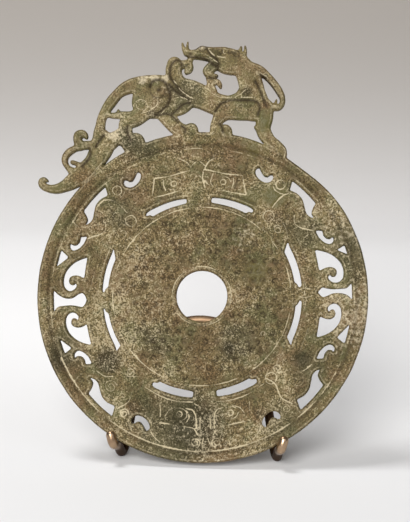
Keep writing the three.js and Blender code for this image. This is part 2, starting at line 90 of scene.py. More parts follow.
class Patch(Enum):
    """What a weathered patch of the stone does to its colour; the darkened patches are partly painted
    shade.
    """

    POLISHED = "polished"
    REDDENED = "reddened"
    DARKENED = "darkened"
    BLEACHED = "bleached"
    GREYED = "greyed"


# ---------------------------------------------------------------- curves and distances


def unit(rows: np.ndarray) -> np.ndarray:
    """A vector, or each row of an array, scaled to length one."""
    return rows / np.maximum(np.linalg.norm(rows, axis=-1, keepdims=True), TINY)


def left_of(rows: np.ndarray) -> np.ndarray:
    """Rows (x, y) turned a quarter to the left."""
    return np.stack([-rows[:, 1], rows[:, 0]], axis=1)


def run_along(path: np.ndarray) -> np.ndarray:
    """Length of a polyline up to each of its points."""
    return np.concatenate([[0.0], np.cumsum(np.linalg.norm(np.diff(path, axis=0), axis=1))])


def root_length(chords: np.ndarray) -> np.ndarray:
    """Square roots of the lengths of chords, as a column."""
    return np.maximum(np.linalg.norm(chords, axis=1), 1e-4)[:, None] ** 0.5


def smooth_curve(points: np.ndarray | tuple, steps: int = CURVE_STEPS) -> np.ndarray:
    """Centripetal Catmull-Rom curve: between two points a cubic whose end slopes weigh the neighbouring
    chords by the square roots of their lengths.

    Args:
        points: rows of control points of any width.
        steps: samples on each span.

    Returns:
        The sampled rows.
    """
    p = np.asarray(points, float)
    ends = np.vstack([2 * p[0] - p[1], p, 2 * p[-1] - p[-2]])
    p0, p1, p2, p3 = ends[:-3], ends[1:-2], ends[2:-1], ends[3:]
    d0, d1, d2 = (root_length(chords) for chords in (p1 - p0, p2 - p1, p3 - p2))
    m1 = ((p1 - p0) / d0 - (p2 - p0) / (d0 + d1) + (p2 - p1) / d1) * d1
    m2 = ((p2 - p1) / d1 - (p3 - p1) / (d1 + d2) + (p3 - p2) / d2) * d1
    t = (np.arange(steps) / steps)[None, :, None]
    p1, p2, m1, m2 = (a[:, None, :] for a in (p1, p2, m1, m2))
    from_points = (2 * t**3 - 3 * t**2 + 1) * p1 + (3 * t**2 - 2 * t**3) * p2
    from_slopes = (t**3 - 2 * t**2 + t) * m1 + (t**3 - t**2) * m2
    return np.vstack([(from_points + from_slopes).reshape(-1, p.shape[1]), p[-1:]])


def cornered_outline(points: list) -> np.ndarray:
    """Closed outline, smooth between the control points that are marked as corners.

    Args:
        points: control points (x, y, corner).

    Returns:
        The sampled rows (x, y).
    """
    first = next((i for i, p in enumerate(points) if p[2]), 0)
    turned = points[first:] + points[:first]
    flat = np.array([p[:2] for p in turned], float)
    stops = [i for i, p in enumerate(turned) if p[2]] + [len(turned)]
    ring = np.vstack([flat, flat[:1]])
    return np.vstack([smooth_curve(ring[a : b + 1])[:-1] for a, b in zip(stops, stops[1:])])


def spaced(points: np.ndarray, gap: float, closed: bool = False) -> np.ndarray:
    """The points of a polyline at even steps along its length.

    Args:
        points: the polyline's rows.
        gap: the length of a step, met as nearly as a whole number of steps allows.
        closed: whether the polyline returns to its first point.

    Returns:
        The new rows, without a repeat of the first on a closed polyline.
    """
    p = np.vstack([points, points[:1]]) if closed else np.asarray(points, float)
    run = run_along(p)
    at = np.linspace(0, run[-1], max(3, round(run[-1] / gap)) + 1)
    at = at[:-1] if closed else at
    return np.stack([np.interp(at, run, p[:, k]) for k in range(p.shape[1])], axis=1)


def unit_spiral(start: float, turns: float, end: float, count: int) -> np.ndarray:
    """Spiral about the origin: its radius shrinks evenly from 1 over its turns.

    Args:
        start: the first point's angle in radians.
        turns: turns to the left, or to the right when negative.
        end: the last point's radius.
        count: number of points.

    Returns:
        Rows (x, y).
    """
    t = np.linspace(0, 1, count)
    angle = start + 2 * np.pi * turns * t
    return (1 + (end - 1) * t)[:, None] * np.stack([np.cos(angle), np.sin(angle)], axis=1)


def chord_distance(where: np.ndarray, path: np.ndarray) -> tuple[np.ndarray, np.ndarray]:
    """Distance from each point to the nearest chord of a polyline: the foot of the perpendicular is held
    between the chord's ends.

    Args:
        where: points, one per row (x, y).
        path: polyline, (x, y) or (x, y, half width) per row.

    Returns:
        The distance, and the distance inside a stroke of that half width (zero width where there is none).
    """
    a, b = path[:-1, :2], path[1:, :2]
    along = b - a
    rel = where[:, None, :] - a[None]
    t = np.clip((rel * along[None]).sum(2) / np.maximum((along**2).sum(1), TINY), 0, 1)
    away = np.sqrt(((rel - t[:, :, None] * along[None]) ** 2).sum(2))
    near = away.min(1)
    if path.shape[1] == 2:
        return near, -near
    width = path[:-1, 2] + t * (path[1:, 2] - path[:-1, 2])
    return near, (width - away).max(1)


def signed_inside(where: np.ndarray, polygon: np.ndarray) -> np.ndarray:
    """Distance to a closed outline: inside it where a ray to the right crosses it an odd number of times.

    Args:
        where: points, one per row (x, y).
        polygon: the outline's rows (x, y).

    Returns:
        The distances, positive inside.
    """
    ring = np.vstack([polygon, polygon[:1]])
    near, _ = chord_distance(where, ring)
    a, b = ring[:-1], ring[1:]
    x, y = where[:, None, 0], where[:, None, 1]
    spans = (a[:, 1] > y) != (b[:, 1] > y)
    rise = np.where(b[:, 1] == a[:, 1], TINY, b[:, 1] - a[:, 1])
    cross = a[:, 0] + (y - a[:, 1]) * (b[:, 0] - a[:, 0]) / rise
    return np.where((spans & (x < cross)).sum(1) % 2 == 1, near, -near)


def in_window(where: np.ndarray, path: np.ndarray, margin: float) -> np.ndarray:
    """Indices of the points within a margin of a polyline's box."""
    low, high = path[:, :2].min(0) - margin, path[:, :2].max(0) + margin
    return np.flatnonzero(((where > low) & (where < high)).all(1))


def pattern_to_disc(quarter: Quarter, points: np.ndarray) -> np.ndarray:
    """Pattern coordinates of a quarter to the disc's plane.

    Args:
        quarter: the quarter.
        points: rows (degrees from the upright axis, radius).

    Returns:
        Rows (x, y).
    """
    mirror, lower = quarter.value
    angle = np.radians(points[:, 0])
    angle = mirror * (np.pi - angle if lower else angle) - PATTERN_TURN
    return points[:, 1:2] * np.stack([np.sin(angle), np.cos(angle)], axis=1)


# ---------------------------------------------------------------- the openings


def arc_points(start: float, end: float, r0: float, r1: float) -> list:
    """Three plain control points evenly between two angles and radii."""
    return [(start + (end - start) * s, r0 + (r1 - r0) * s, 0) for s in (0.25, 0.5, 0.75)]


def shifted(a: float, r: float, form: tuple) -> list:
    """Control points given from a point of the pattern."""
    return [(a + da, r + dr, corner) for da, dr, corner in form]


# Openings of one form: (degrees, radius, corner) from their own place; the crescent's is its inner side.
TONGUE = (
    (-3.3, 2, 1), (-4.2, 0, 0), (-2.9, -2.7, 0), (-0.4, -4.1, 0), (2.3, -3.9, 0), (3.9, -1.8, 0),
    (3.9, 0.6, 0), (3.1, 1.7, 1), (2.2, 0.9, 0), (1.7, -0.6, 0), (0.4, -1.3, 1), (-1.1, -0.3, 0),
    (-2.1, 0.7, 1),
)
CRESCENT = (
    (13.6, 1.5, 0), (15, -0.9, 0), (17.3, -1, 1), (16.2, -2.3, 0), (13.8, -3, 0), (10.6, -1.2, 0),
    (8, 0.4, 0), (5, 0.7, 0), (1.6, -0.5, 1),
)
HOOK = (
    (-0.4, -0.1, 1), (3.2, -0.2, 1), (6.2, 1.4, 0), (7.7, 4, 0), (6.9, 6.3, 0), (5.2, 7, 1), (5.7, 5, 0),
    (4.8, 3.2, 0), (2.8, 2.6, 0), (1.2, 3.4, 1),
)
COMMA = (
    (9.5, 2.5, 0), (9.7, 5.2, 0), (10.9, 7.3, 0), (12.6, 7.6, 0), (14, 6.4, 0), (13.9, 4.9, 0),
    (12.7, 4.1, 1), (14, 3, 0), (15.8, 4.1, 0), (16.7, 6.9, 0), (15.3, 9.8, 0), (12.3, 10.9, 0),
    (8.7, 10.3, 0), (4.6, 7.3, 0), (1.7, 3.4, 0), (0, 0.5, 1),
)


@dataclass(frozen=True)
class QuarterCuts:
    """The openings of one quarter, in pattern degrees and millimetres of radius.

    Each opening has the one form given by its method, as control points (degrees, radius, corner); the
    fields are what the hand-cut openings vary in.
    """

    quarter: Quarter
    axis: tuple
    side: tuple
    tongue: tuple
    crescent: tuple
    hook: tuple
    comma: tuple
    spandrel: tuple
    flank: tuple

    def axis_slot(self) -> list:
        """Thin slot above or below the inner disc: square start, stepped far end."""
        start, end, inner, outer = self.axis
        return [
            (start, inner + 0.3, 1), *arc_points(start, end - 3, inner, inner), (end - 3, inner, 1),
            (end - 2.4, inner + 1.3, 0), (end, inner + 1.9, 1), (end - 0.3, outer + 0.1, 0),
            (end - 2.4, outer + 0.6, 0), *arc_points(end - 2.4, start, outer + 0.6, outer),
            (start, outer - 0.2, 1),
        ]

    def side_slot(self) -> list:
        """Thin slot at the side: slanted start, stepped near end."""
        start, slant, end, inner, outer = self.side
        return [
            (start, outer + 1.1, 1), (start + slant, inner, 1),
            *arc_points(start + slant, end - 3.4, inner, inner), (end - 3.4, inner, 1),
            (end - 2.4, inner + 1.2, 0), (end - 0.3, inner + 1.9, 0), (end, inner + 2.6, 0),
            (end - 1.2, outer, 1), *arc_points(end - 1.2, start + 3, outer, outer + 0.2),
            (start + 3, outer + 0.3, 0),
        ]

    def crescent_cut(self) -> list:
        """Long opening under the rim beside the large spiral, ending in a small hook."""
        a, r, top = self.crescent
        outer = [(a, top, 1), *arc_points(a, a + 12.8, top, top), (a + 12.8, top, 1)]
        return outer + shifted(a, r, CRESCENT)

    def comma_cut(self) -> list:
        """Large comma wrapped round an inner curl, stretched towards the rim by its lift."""
        a, r, lift = self.comma
        curl = tuple((da, dr * lift, corner) for da, dr, corner in COMMA)
        return shifted(a, r, (curl[-1], (5, -0.2, 0), (10.3, -0.6, 1), *curl[:-1]))

    def spandrel_cut(self) -> list:
        """Triangle between the comma's back and the rim."""
        a, width, tip, top, foot = self.spandrel
        return [(a, top, 1), (a + width, top, 1), (a + tip, foot, 1)]

    def flank_points(self) -> list:
        """One flank of the waisted opening on the cross axis, from the rim to its inner point, placed."""
        waist, wide = self.flank
        return self.placed([
            (wide, 81.4, 1), (wide + 1.9, 78.7, 0), (waist, 75.2, 0), (waist, 71, 0), (wide + 1.5, 67.4, 0),
            (wide + 0.9, 65.4, 1), (wide + 2.4, 63.7, 0),
        ])

    def placed(self, form: list) -> list:
        """Pattern control points of this quarter as control points in the disc's plane."""
        flat = pattern_to_disc(self.quarter, np.array([p[:2] for p in form], float))
        return [(x, y, p[2]) for (x, y), p in zip(flat.tolist(), form)]

    def outlines(self) -> list[np.ndarray]:
        """The closed outlines of this quarter's own openings, in the disc's plane."""
        forms = (
            self.axis_slot(), self.side_slot(), shifted(*self.tongue, TONGUE), self.crescent_cut(),
            shifted(*self.hook, HOOK), self.comma_cut(), self.spandrel_cut(),
        )
        return [cornered_outline(self.placed(form)) for form in forms]


CUTS = {
    cuts.quarter: cuts
    for cuts in (
        QuarterCuts(
            Quarter.UPPER_RIGHT, (7.2, 33, 51.1, 54.4), (59, 4.6, 86.8, 50.8, 54.4), (28.9, 74.9),
            (39.8, 75.4, 79.9), (62, 71.2), (69.4, 65.7, 1.12), (72, 3.8, 0.9, 82.1, 77.3), (88.7, 86.6),
        ),
        QuarterCuts(
            Quarter.LOWER_RIGHT, (6.9, 31.6, 51.3, 54.9), (59.2, 3.4, 86, 51.1, 54.2), (27.7, 76.8),
            (39.3, 76.3, 81.2), (60, 70.6), (68.4, 65.4, 0.98), (69.8, 7.6, 1.4, 81.3, 76.3), (89.4, 86.7),
        ),
        QuarterCuts(
            Quarter.LOWER_LEFT, (6.6, 31.2, 51.5, 55.1), (58.8, 1.6, 84.8, 51.6, 54.2), (27.3, 76.9),
            (38.4, 76.3, 81.2), (60.4, 70), (68, 65.1, 0.98), (69, 6, 1, 81, 76.2), (87.8, 85.6),
        ),
        QuarterCuts(
            Quarter.UPPER_LEFT, (7.4, 33, 51.2, 54.4), (59, 6, 86.2, 51.3, 54.5), (29.1, 75.1),
            (39.7, 76.2, 80.4), (61, 70.9), (69.3, 65.6, 0.98), (70, 7, 2, 81.4, 76), (89, 85.6),
        ),
    )
}
BOW_TIES = ((Quarter.UPPER_RIGHT, Quarter.LOWER_RIGHT), (Quarter.LOWER_LEFT, Quarter.UPPER_LEFT))
BOW_TIE_POINT = 62.8


def opening_outlines() -> list[np.ndarray]:
    """Every opening of the disc but the central hole: the quarters' own and a waisted one on each side.

    Returns:
        Closed outlines in the disc's plane.
    """
    outlines = [outline for cuts in CUTS.values() for outline in cuts.outlines()]
    for one, other in BOW_TIES:
        point = CUTS[one].placed([(90, BOW_TIE_POINT, 1)])
        back = CUTS[other].flank_points()[::-1]
        outlines.append(cornered_outline(CUTS[one].flank_points() + point + back))
    return outlines


# ---------------------------------------------------------------- the dragon's limbs


LIMB_CROWN = (0.5, 3.4)  # least and greatest distance from a limb's edge to its full height
SPINE_STEPS = 12
SPINE_GAP = 0.7


@dataclass(frozen=True)
class Limb:
    """A tapering limb of the dragon.

    top is its greatest height in front of the middle plane, fall is how far its swell drops to its edge,
    and spine is a row of control points (x, y, half width).
    """

    top: float
    fall: float
    spine: tuple

    def path(self) -> np.ndarray:
        """The spine as closely spaced rows."""
        return spaced(smooth_curve(self.spine, SPINE_STEPS), SPINE_GAP)

    def height(self, inside: np.ndarray, path: np.ndarray) -> np.ndarray:
        """Swell of the limb: its top less a quarter of an ellipse that ends at the limb's crown.

        Args:
            inside: distances inside the limb's edge.
            path: the limb's path.

        Returns:
            The heights.
        """
        crown = min(LIMB_CROWN[1], max(LIMB_CROWN[0], 0.9 * float(path[:, 2].mean())))
        t = np.clip(inside / crown, 0, 1)
        return self.top - 1.25 * self.fall * (1 - np.sqrt(1 - (1 - t) ** 2))


LIMBS = {
    "snout": Limb(2.5, 1.1, ((-12.2, 133.9, 1.9), (-8.5, 133.2, 2.5), (-3.5, 133.8, 3.7), (2, 133.2, 4.2),
        (8, 132.4, 5.2))),
    "snout_spike": Limb(2, 1, ((-12.4, 134, 1.9), (-14, 136.2, 1.1), (-14.9, 139.4, 0.55))),
    "nose_spike": Limb(1.8, 0.9, ((-12, 135.6, 1.2), (-12.1, 138, 0.6), (-11.8, 140, 0.5))),
    "brow": Limb(2.4, 0.8, ((-4, 135.9, 2.2), (-1.5, 134.8, 2.4))),
    "brow_ridge": Limb(2.6, 0.6, ((-6.4, 135.2, 0.8), (-5, 136.6, 1), (-2.6, 136.8, 1.1),
        (-0.6, 134.6, 1))),
    "skull": Limb(2.5, 1.1, ((4, 132.2, 5), (10, 129.9, 7.2), (15.5, 128.6, 6.7))),
    "ear": Limb(2.6, 0.9, ((9, 133.5, 3.6), (14.5, 132.8, 3.2), (18.4, 132.8, 1.9))),
    "hair": Limb(2.6, 0.8, ((2.6, 134, 1.9), (7, 134, 2.2), (11, 134, 2.2))),
    "horn": Limb(2.5, 1, ((16.5, 131, 2.2), (19.3, 133.3, 1.4), (20, 136, 0.8), (19.8, 138, 0.6))),
    "horn_curl": Limb(2.3, 1, ((16, 133.5, 2), (17.3, 136, 0.9), (17.6, 137.6, 0.7))),
    "neck": Limb(2.5, 1.2, ((18.8, 126.8, 5.4), (22.2, 120.5, 6.3), (24, 114, 7), (23, 107.5, 8.6))),
    "mane": Limb(2.6, 1.2, ((22.5, 126.8, 3), (28, 124.9, 2.7), (32.6, 121.4, 2.15), (36.6, 117, 2.05),
        (39.6, 112.6, 1.95), (41, 109.3, 1.6), (40.8, 106.5, 1.5), (39, 104.5, 1.7), (36, 104.6, 1.9))),
    "mane_tip": Limb(2, 0.9, ((37, 105.8, 1), (37.8, 108.8, 0.5))),
    "mane_root": Limb(2.5, 1, ((26.4, 121, 2.6), (29, 114.5, 1.9), (31.2, 108, 2.4))),
    "jaw": Limb(2.3, 1.1, ((3.8, 128.2, 3.2), (1.2, 125.8, 3), (-0.6, 123.7, 2.6), (1.2, 121.8, 1.9),
        (3.6, 121.2, 1.3), (4.8, 121.5, 0.8))),
    "beard": Limb(2.3, 1.1, ((2.2, 112.6, 3), (1.4, 115.6, 2.4), (2.6, 118, 1.9), (5, 118.1, 1.6),
        (6.5, 116.4, 1.3), (6.9, 114.9, 0.7))),
    "beard_link": Limb(1.7, 0.7, ((0.7, 121.6, 2.3), (1.5, 118.4, 2.4))),
    "barrel": Limb(2.5, 1.3, ((-15.5, 114.6, 5.6), (-9.5, 111.7, 7.2), (-3, 109.4, 6.6), (4.5, 105.9, 6.1),
        (12, 103.6, 6.5))),
    "chest": Limb(2.6, 1.2, ((6.5, 104.6, 5.2), (14, 103.4, 6.1), (22, 103.2, 6.2), (28, 103.2, 6.4),
        (31, 104, 5.4))),
    "throat": Limb(2.2, 1.1, ((8, 106, 4), (14.5, 106.9, 4.4), (19.5, 110, 4))),
    "foreleg": Limb(2.5, 1.1, ((8.6, 101, 4.6), (5.9, 96.8, 3.1), (4.9, 93, 3.1), (5.8, 88.6, 3.9))),
    "forepaw": Limb(2.6, 1, ((6.5, 91.4, 2.7), (10.6, 91.2, 3.1), (11.6, 89, 2.6))),
    "lead_leg": Limb(3, 1.3, ((31.4, 104, 4.9), (31.6, 98.5, 4.5), (30.8, 93.2, 4.1), (31.9, 89.6, 3.9),
        (34.6, 86, 3.4), (38.6, 83, 3.1), (41.2, 80.2, 2.9), (41.6, 76.5, 2.4))),
    "knee": Limb(2.2, 1, ((29, 92.6, 2.4), (26.2, 93.3, 0.6))),
    "crest": Limb(2.5, 1.3, ((-14, 115.6, 3.9), (-18, 119, 4.5), (-19.3, 124, 4.4), (-18.9, 127.6, 4.1))),
    "crest_curl": Limb(2.4, 1.1, ((-17.3, 126, 2.6), (-14, 127.6, 2.2), (-11.2, 127.2, 2.5),
        (-10.9, 124.8, 2.2), (-12.2, 123.2, 1.3))),
    "crest_link": Limb(1.8, 0.8, ((-11.2, 128, 2), (-10.2, 130.4, 1.6), (-9.8, 132.6, 1.5))),
    "saddle": Limb(2.1, 0.9, ((-23, 116, 5), (-18.6, 113.6, 6.2), (-20.6, 107.6, 7))),
    "rump": Limb(2.5, 1.1, ((-24, 114.8, 6.4), (-31, 114.2, 7), (-36, 113, 5.6))),
    "haunch": Limb(2.4, 1, ((-35.2, 109.4, 6.2), (-35, 104.5, 6.3), (-29.5, 102.9, 5.8), (-24, 104, 6))),
    "thigh": Limb(2.5, 1.2, ((-35, 100.6, 4.8), (-39.6, 97, 4.6), (-44.4, 94.2, 3.9), (-45.4, 89.6, 3.2),
        (-45.8, 85, 3.8))),
    "hind_paw": Limb(2.7, 1.1, ((-44, 84.2, 3.2), (-38.2, 85.2, 3.5), (-36, 82.8, 2.6))),
    "hind_leg": Limb(2.5, 1.3, ((-25, 101.5, 4.6), (-20.6, 96.4, 4.4), (-16.4, 92, 4), (-10.5, 89.2, 4))),
    "hind_leg_paw": Limb(2.7, 1.1, ((-10.6, 89.8, 3.6), (-8.4, 91.3, 3.6), (-7.9, 88.8, 3.4))),
    "belly": Limb(2.3, 1.2, ((-22, 103, 4.6), (-15.4, 104, 4.8), (-9.5, 108.7, 4.6))),
    "back_arch": Limb(2.7, 1.3, ((-27, 118.9, 2.2), (-34, 117.5, 3.5), (-41.3, 115.3, 4.1),
        (-45.3, 113.7, 3.6), (-49.1, 111, 2.9), (-53.4, 105.6, 3), (-56.4, 100.6, 2.6), (-58.2, 96, 2.5),
        (-58.8, 92, 2.7), (-59.2, 88, 3.3))),
    "bridge": Limb(2, 0.9, ((-57, 99.7, 1.6), (-52.6, 98.3, 1.5), (-48.5, 98.6, 2), (-42, 98.2, 2.6))),
    "bridge_curl": Limb(2, 0.8, ((-49, 99.4, 1.3), (-49, 101.4, 0.6))),
    "tail": Limb(3, 1.5, ((-58.6, 88, 3.6), (-57, 82.6, 6.4), (-58.8, 77, 6), (-62, 71.6, 5.2),
        (-67, 66, 5.4), (-72.6, 61.6, 4.4), (-77.5, 58.5, 3.2), (-82, 56.9, 2.6), (-86.5, 57.2, 2.1),
        (-89.4, 58.8, 2.1), (-90, 61, 1.8), (-88.6, 61.9, 1.4), (-86.9, 61.2, 0.7))),
    "tail_fill": Limb(2.3, 0.8, ((-44.5, 89.5, 3.6), (-49, 86.6, 3.6), (-53, 83.6, 4.6))),
    "root_fill": Limb(2.3, 0.8, ((-64, 65.4, 3), (-60.8, 69.4, 3.4))),
    "heel_fill": Limb(2.3, 0.8, ((-44, 88, 2.6), (-43.4, 82.4, 3.4), (-39.4, 80.2, 4.4))),
    "ball": Limb(2.4, 1.2, ((-69.6, 81.2, 2.9), (-71.1, 84.4, 2.3), (-70.7, 86.9, 2.5), (-68.6, 87.8, 2.2),
        (-66.9, 87, 1.6), (-66.2, 85.6, 0.9))),
    "tendril": Limb(2.4, 1.2, ((-61.5, 81.6, 2.6), (-67, 80.9, 1.9), (-72, 79.6, 1.8), (-75.8, 77.2, 2),
        (-77.6, 74.4, 1.8), (-77.5, 71.4, 1.6), (-75.8, 68.8, 1.5), (-72.8, 66.4, 2.4))),
    "tendril_root": Limb(2.2, 1, ((-63, 82.2, 1.9), (-70, 81.9, 1.7))),
    "bud": Limb(2.2, 1, ((-67.5, 69, 2), (-71, 71.2, 1.2), (-73.4, 71.8, 1.3))),
}


# ---------------------------------------------------------------- the carved lines


@dataclass(frozen=True)
class Line:
    """A carved line: how much cream deposit it holds, its path, half width and depth.

    The path is control points where it is a tuple and the whole path where it is an array.
    """

    cream: float
    path: tuple | np.ndarray
    half_width: float = PLAIN_HALF_WIDTH
    depth: float = 0.3
    on_back: bool = False


def ring_form(
    a: float, r: float, rx: float, ry: float, start: float = 0, turns: float = 1, end: float = 1
) -> np.ndarray:
    """A ring, arc or spiral about a pattern point.

    Args:
        a: the point's degrees.
        r: the point's radius.
        rx: half width along the circle.
        ry: half width across it.
        start: the first point's angle in degrees.
        turns: turns made.
        end: the last point's size, as a share of the first's.

    Returns:
        Rows (degrees, radius).
    """
    form = unit_spiral(math.radians(start), turns, end, max(8, int(18 * turns)))
    return np.stack([a + np.degrees(form[:, 0] * rx / r), r + form[:, 1] * ry], axis=1)


def eye_rings(radius: float) -> tuple:
    """A mask's eye at a radius: ring, pupil and the arc round them."""
    return (
        Line(1, ring_form(12.3, radius, 1.5, 1.5), 0.42, 0.35),
        Line(0, ring_form(12.3, radius, 0.3, 0.3), 0.35, 0.3),
        Line(0.7, ring_form(12.3, radius, 4.2, 3.3, 20, 0.85), 0.4, 0.3),
    )


# Half of the lower mask: frame, brow block and nose strokes.
LOWER_MASK = (
    *eye_rings(64.8),
    Line(0.9, ((22.8, 62.4), (21.6, 65), (20.7, 68.6))),
    Line(1, ((19.8, 71.9), (13.2, 70.9), (8.6, 71), (5, 71.6), (3.3, 74.8)), 0.5),
    Line(1, ((9.3, 61.3), (6.1, 61.8), (4.6, 64.4), (4.1, 67.4), (3.9, 71.6)), 0.5),
    Line(0.8, ((2.3, 64.8), (2.3, 71.4))),
    Line(0.8, ((0.4, 60.6), (3, 59.4), (5.4, 58.2))),
    Line(0.7, ((18.6, 67.6), (17.4, 63.8), (14, 61))),
    Line(0.85, ((6.8, 57.5), (14, 58.2), (22.5, 58.5), (33.4, 58)), 0.45),
    Line(0.75, ((9, 62.6), (7.4, 65.4), (8.6, 68.6))),
    Line(0.6, ((29, 73.4), (25.6, 72.6), (23.9, 75.8))),
    Line(0.85, ((24.4, 74.4), (22.6, 77.2), (20.6, 79.8), (17.2, 82.2)), 0.5),
    Line(0.95, ring_form(4.2, 79.1, 2.9, 2.7, 110, 1.5, 0.3), 0.5, 0.45),
    Line(0.8, ((1.4, 82.2), (1.4, 79.2), (0.8, 76.4))),
    Line(0.35, ((8.6, 76.8), (12, 76), (15.4, 78.4), (14, 81)), 0.42, 0.35),
)

# The spirals beside the lower mask.
LOWER_SPIRALS = (
    Line(0.9, ring_form(35.2, 75.9, 2.7, 2.7, 200, 1.6, 0.25), 0.45),
    Line(0.9, ((36.4, 56.2), (38.2, 61.8), (36.4, 69.2), (38.4, 75.6)), 0.55, 0.35),
    Line(0.7, ring_form(46.8, 69.4, 3.9, 3.4, 240, 1.7, 0.2)),
    Line(0.9, ((49.6, 64.8), (52, 68), (56.2, 69.8))),
    Line(0.35, ((41.6, 74.8), (46, 76.4), (50, 74.6), (53, 71.8))),
    Line(0.75, ring_form(38.5, 58, 3.2, 3, 0, 1)),
    Line(0.8, ring_form(44.8, 56.4, 2.6, 2.5, 90, 1.4, 0.3)),
    *(
        Line(0.6, ((41.5 + 2.6 * k, 60.8 - 0.4 * k), (45 + 2.7 * k, 56.5 - 0.8 * k),
                   (49.5 + 2.4 * k, 53.2 - 0.5 * k)), 0.33, 0.2)
        for k in range(5)
    ),
    Line(0.5, ((21.5, 77), (24.5, 80.8), (30.5, 80.4), (33, 76), (32.5, 71.5)), 0.42, 0.25),
)

# The spirals beside the upper mask.
UPPER_SPIRALS = (
    Line(0.85, ring_form(37, 74.2, 2.5, 2.6, 300, 1), 0.45),
    Line(0.4, ring_form(37, 74.2, 1, 1.1, 120, 1)),
    Line(0.9, ((40.2, 61.6), (40.2, 65.3), (40.8, 70.5), (43.4, 74.6), (49.4, 75.8)), 0.5),
    Line(0.7, ((34.6, 72.4), (35.4, 70.6), (38, 70), (40.6, 71))),
    Line(0.6, ring_form(51, 70.4, 2.5, 2.4, 60, 1.3, 0.4), 0.45),
    Line(0.1, ((43.6, 72.6), (46.6, 74), (50.2, 73.4), (53.2, 71.4), (54.2, 68.6)), 0.42, 0.45),
    Line(0.25, ((45.2, 70), (45, 66.8), (47, 64), (49.8, 62.4)), 0.6, 0.45),
    Line(0.95, ((50.6, 66.6), (54, 64), (57.2, 65.2), (59.4, 67.6), (61.4, 69.8)), 0.55),
    Line(0.8, ring_form(41.6, 56.5, 2.9, 3.1, 250, 1), 0.5),
    Line(0.2, ring_form(42.6, 56.2, 1.2, 1.2, 0, 1), 0.42, 0.4),
    Line(0.7, ring_form(50.6, 54.8, 2.8, 2.2, 100, 1.2, 0.4)),
    Line(0.55, ((44.5, 59.6), (50, 59.2), (55, 57.6), (58.8, 55.8))),
    Line(0.6, ((42, 51.6), (50, 51.4), (58, 51.6)), 0.4),
)

# The double band along the side and the strokes on the commas' backs.
BAND = (
    Line(0.5, ((60, 60.6), (70, 60), (80, 60.2), (86, 61.6)), 0.42, 0.25),
    Line(0.6, ((61.5, 56.4), (70, 55.9), (80, 55.9), (86.5, 56.6)), 0.42, 0.25),
    Line(0.35, ((69, 63.4), (75, 62.6), (82, 62.6)), 0.42, 0.2),
    Line(0.7, ((88.2, 52.4), (87.4, 56), (88.4, 60))),
    Line(0.7, ((88.8, 55.8), (90.8, 55.6))),
    Line(0.5, ((56, 78.5), (56.9, 80.6), (57.6, 82.6))),
    Line(0.6, ((58.8, 77.5), (58.6, 80), (58, 82.2))),
    Line(0.45, ((62.6, 78.4), (63.4, 80.4), (63.2, 82.2))),
)

# The dragon's creases, where two limbs meet: grooves that the shade value darkens, partly grime, partly
# painted shade.
CREASES = (
    ((-31.8, 114), (-30.8, 117.2), (-27.4, 118.3), (-23.8, 117), (-21.9, 113.8), (-20.6, 110.4),
     (-21.4, 105.7), (-24.8, 101.5), (-28.5, 98.9)),
    ((-20.8, 119.6), (-21.2, 123), (-20, 127.6), (-17.6, 129.6), (-15.6, 128.8), (-14.6, 126.2)),
    ((-20.8, 119.6), (-18.2, 116.4), (-14.6, 112.6), (-9.8, 109.2)),
    ((-21.2, 115.6), (-18, 112.4), (-14, 109.6), (-10.2, 107.6)),
    ((-19.6, 99.4), (-16.4, 102), (-13.6, 104.8), (-9.4, 106.2)),
    ((-27, 98.6), (-22.6, 99.6), (-19, 98.2), (-15.8, 95.2)),
    ((-12.4, 131.7), (-8, 131.4), (-3, 130.8), (1.2, 128.6), (4.6, 126.2)),
    ((-7.6, 136), (-5, 138), (-2.4, 138.2), (-1.1, 135.9), (0.9, 133.3), (4.5, 130.5)),
    ((4.7, 129.6), (5.3, 126.8), (5, 124.4)),
    ((-9.8, 133.2), (-10.8, 132.8)),
    ((28.9, 122.2), (32.6, 118.4), (36.4, 113.6), (39, 109)),
    ((25.8, 118.6), (28.6, 113.6), (30.6, 108.6), (32.4, 104.8)),
    ((0.2, 120.1), (2.6, 120), (5.2, 120.6)),
    ((4.4, 101.6), (7.6, 105.6), (13, 107.8), (20, 107.8), (26.4, 107.4), (28.8, 104.2), (27.8, 100)),
    ((7.2, 94.6), (8.4, 92.6), (9, 90)),
    ((-13.6, 92.8), (-11.8, 91.4), (-11.8, 89.4)),
    ((-43.4, 92.6), (-43.8, 89.6), (-42.4, 86.4), (-41.4, 84.2)),
    ((-60.6, 80.2), (-58.8, 83.6), (-56.4, 86.8)),
    ((-64.4, 80), (-63.2, 77), (-64.6, 73.4), (-68, 69.4)),
)

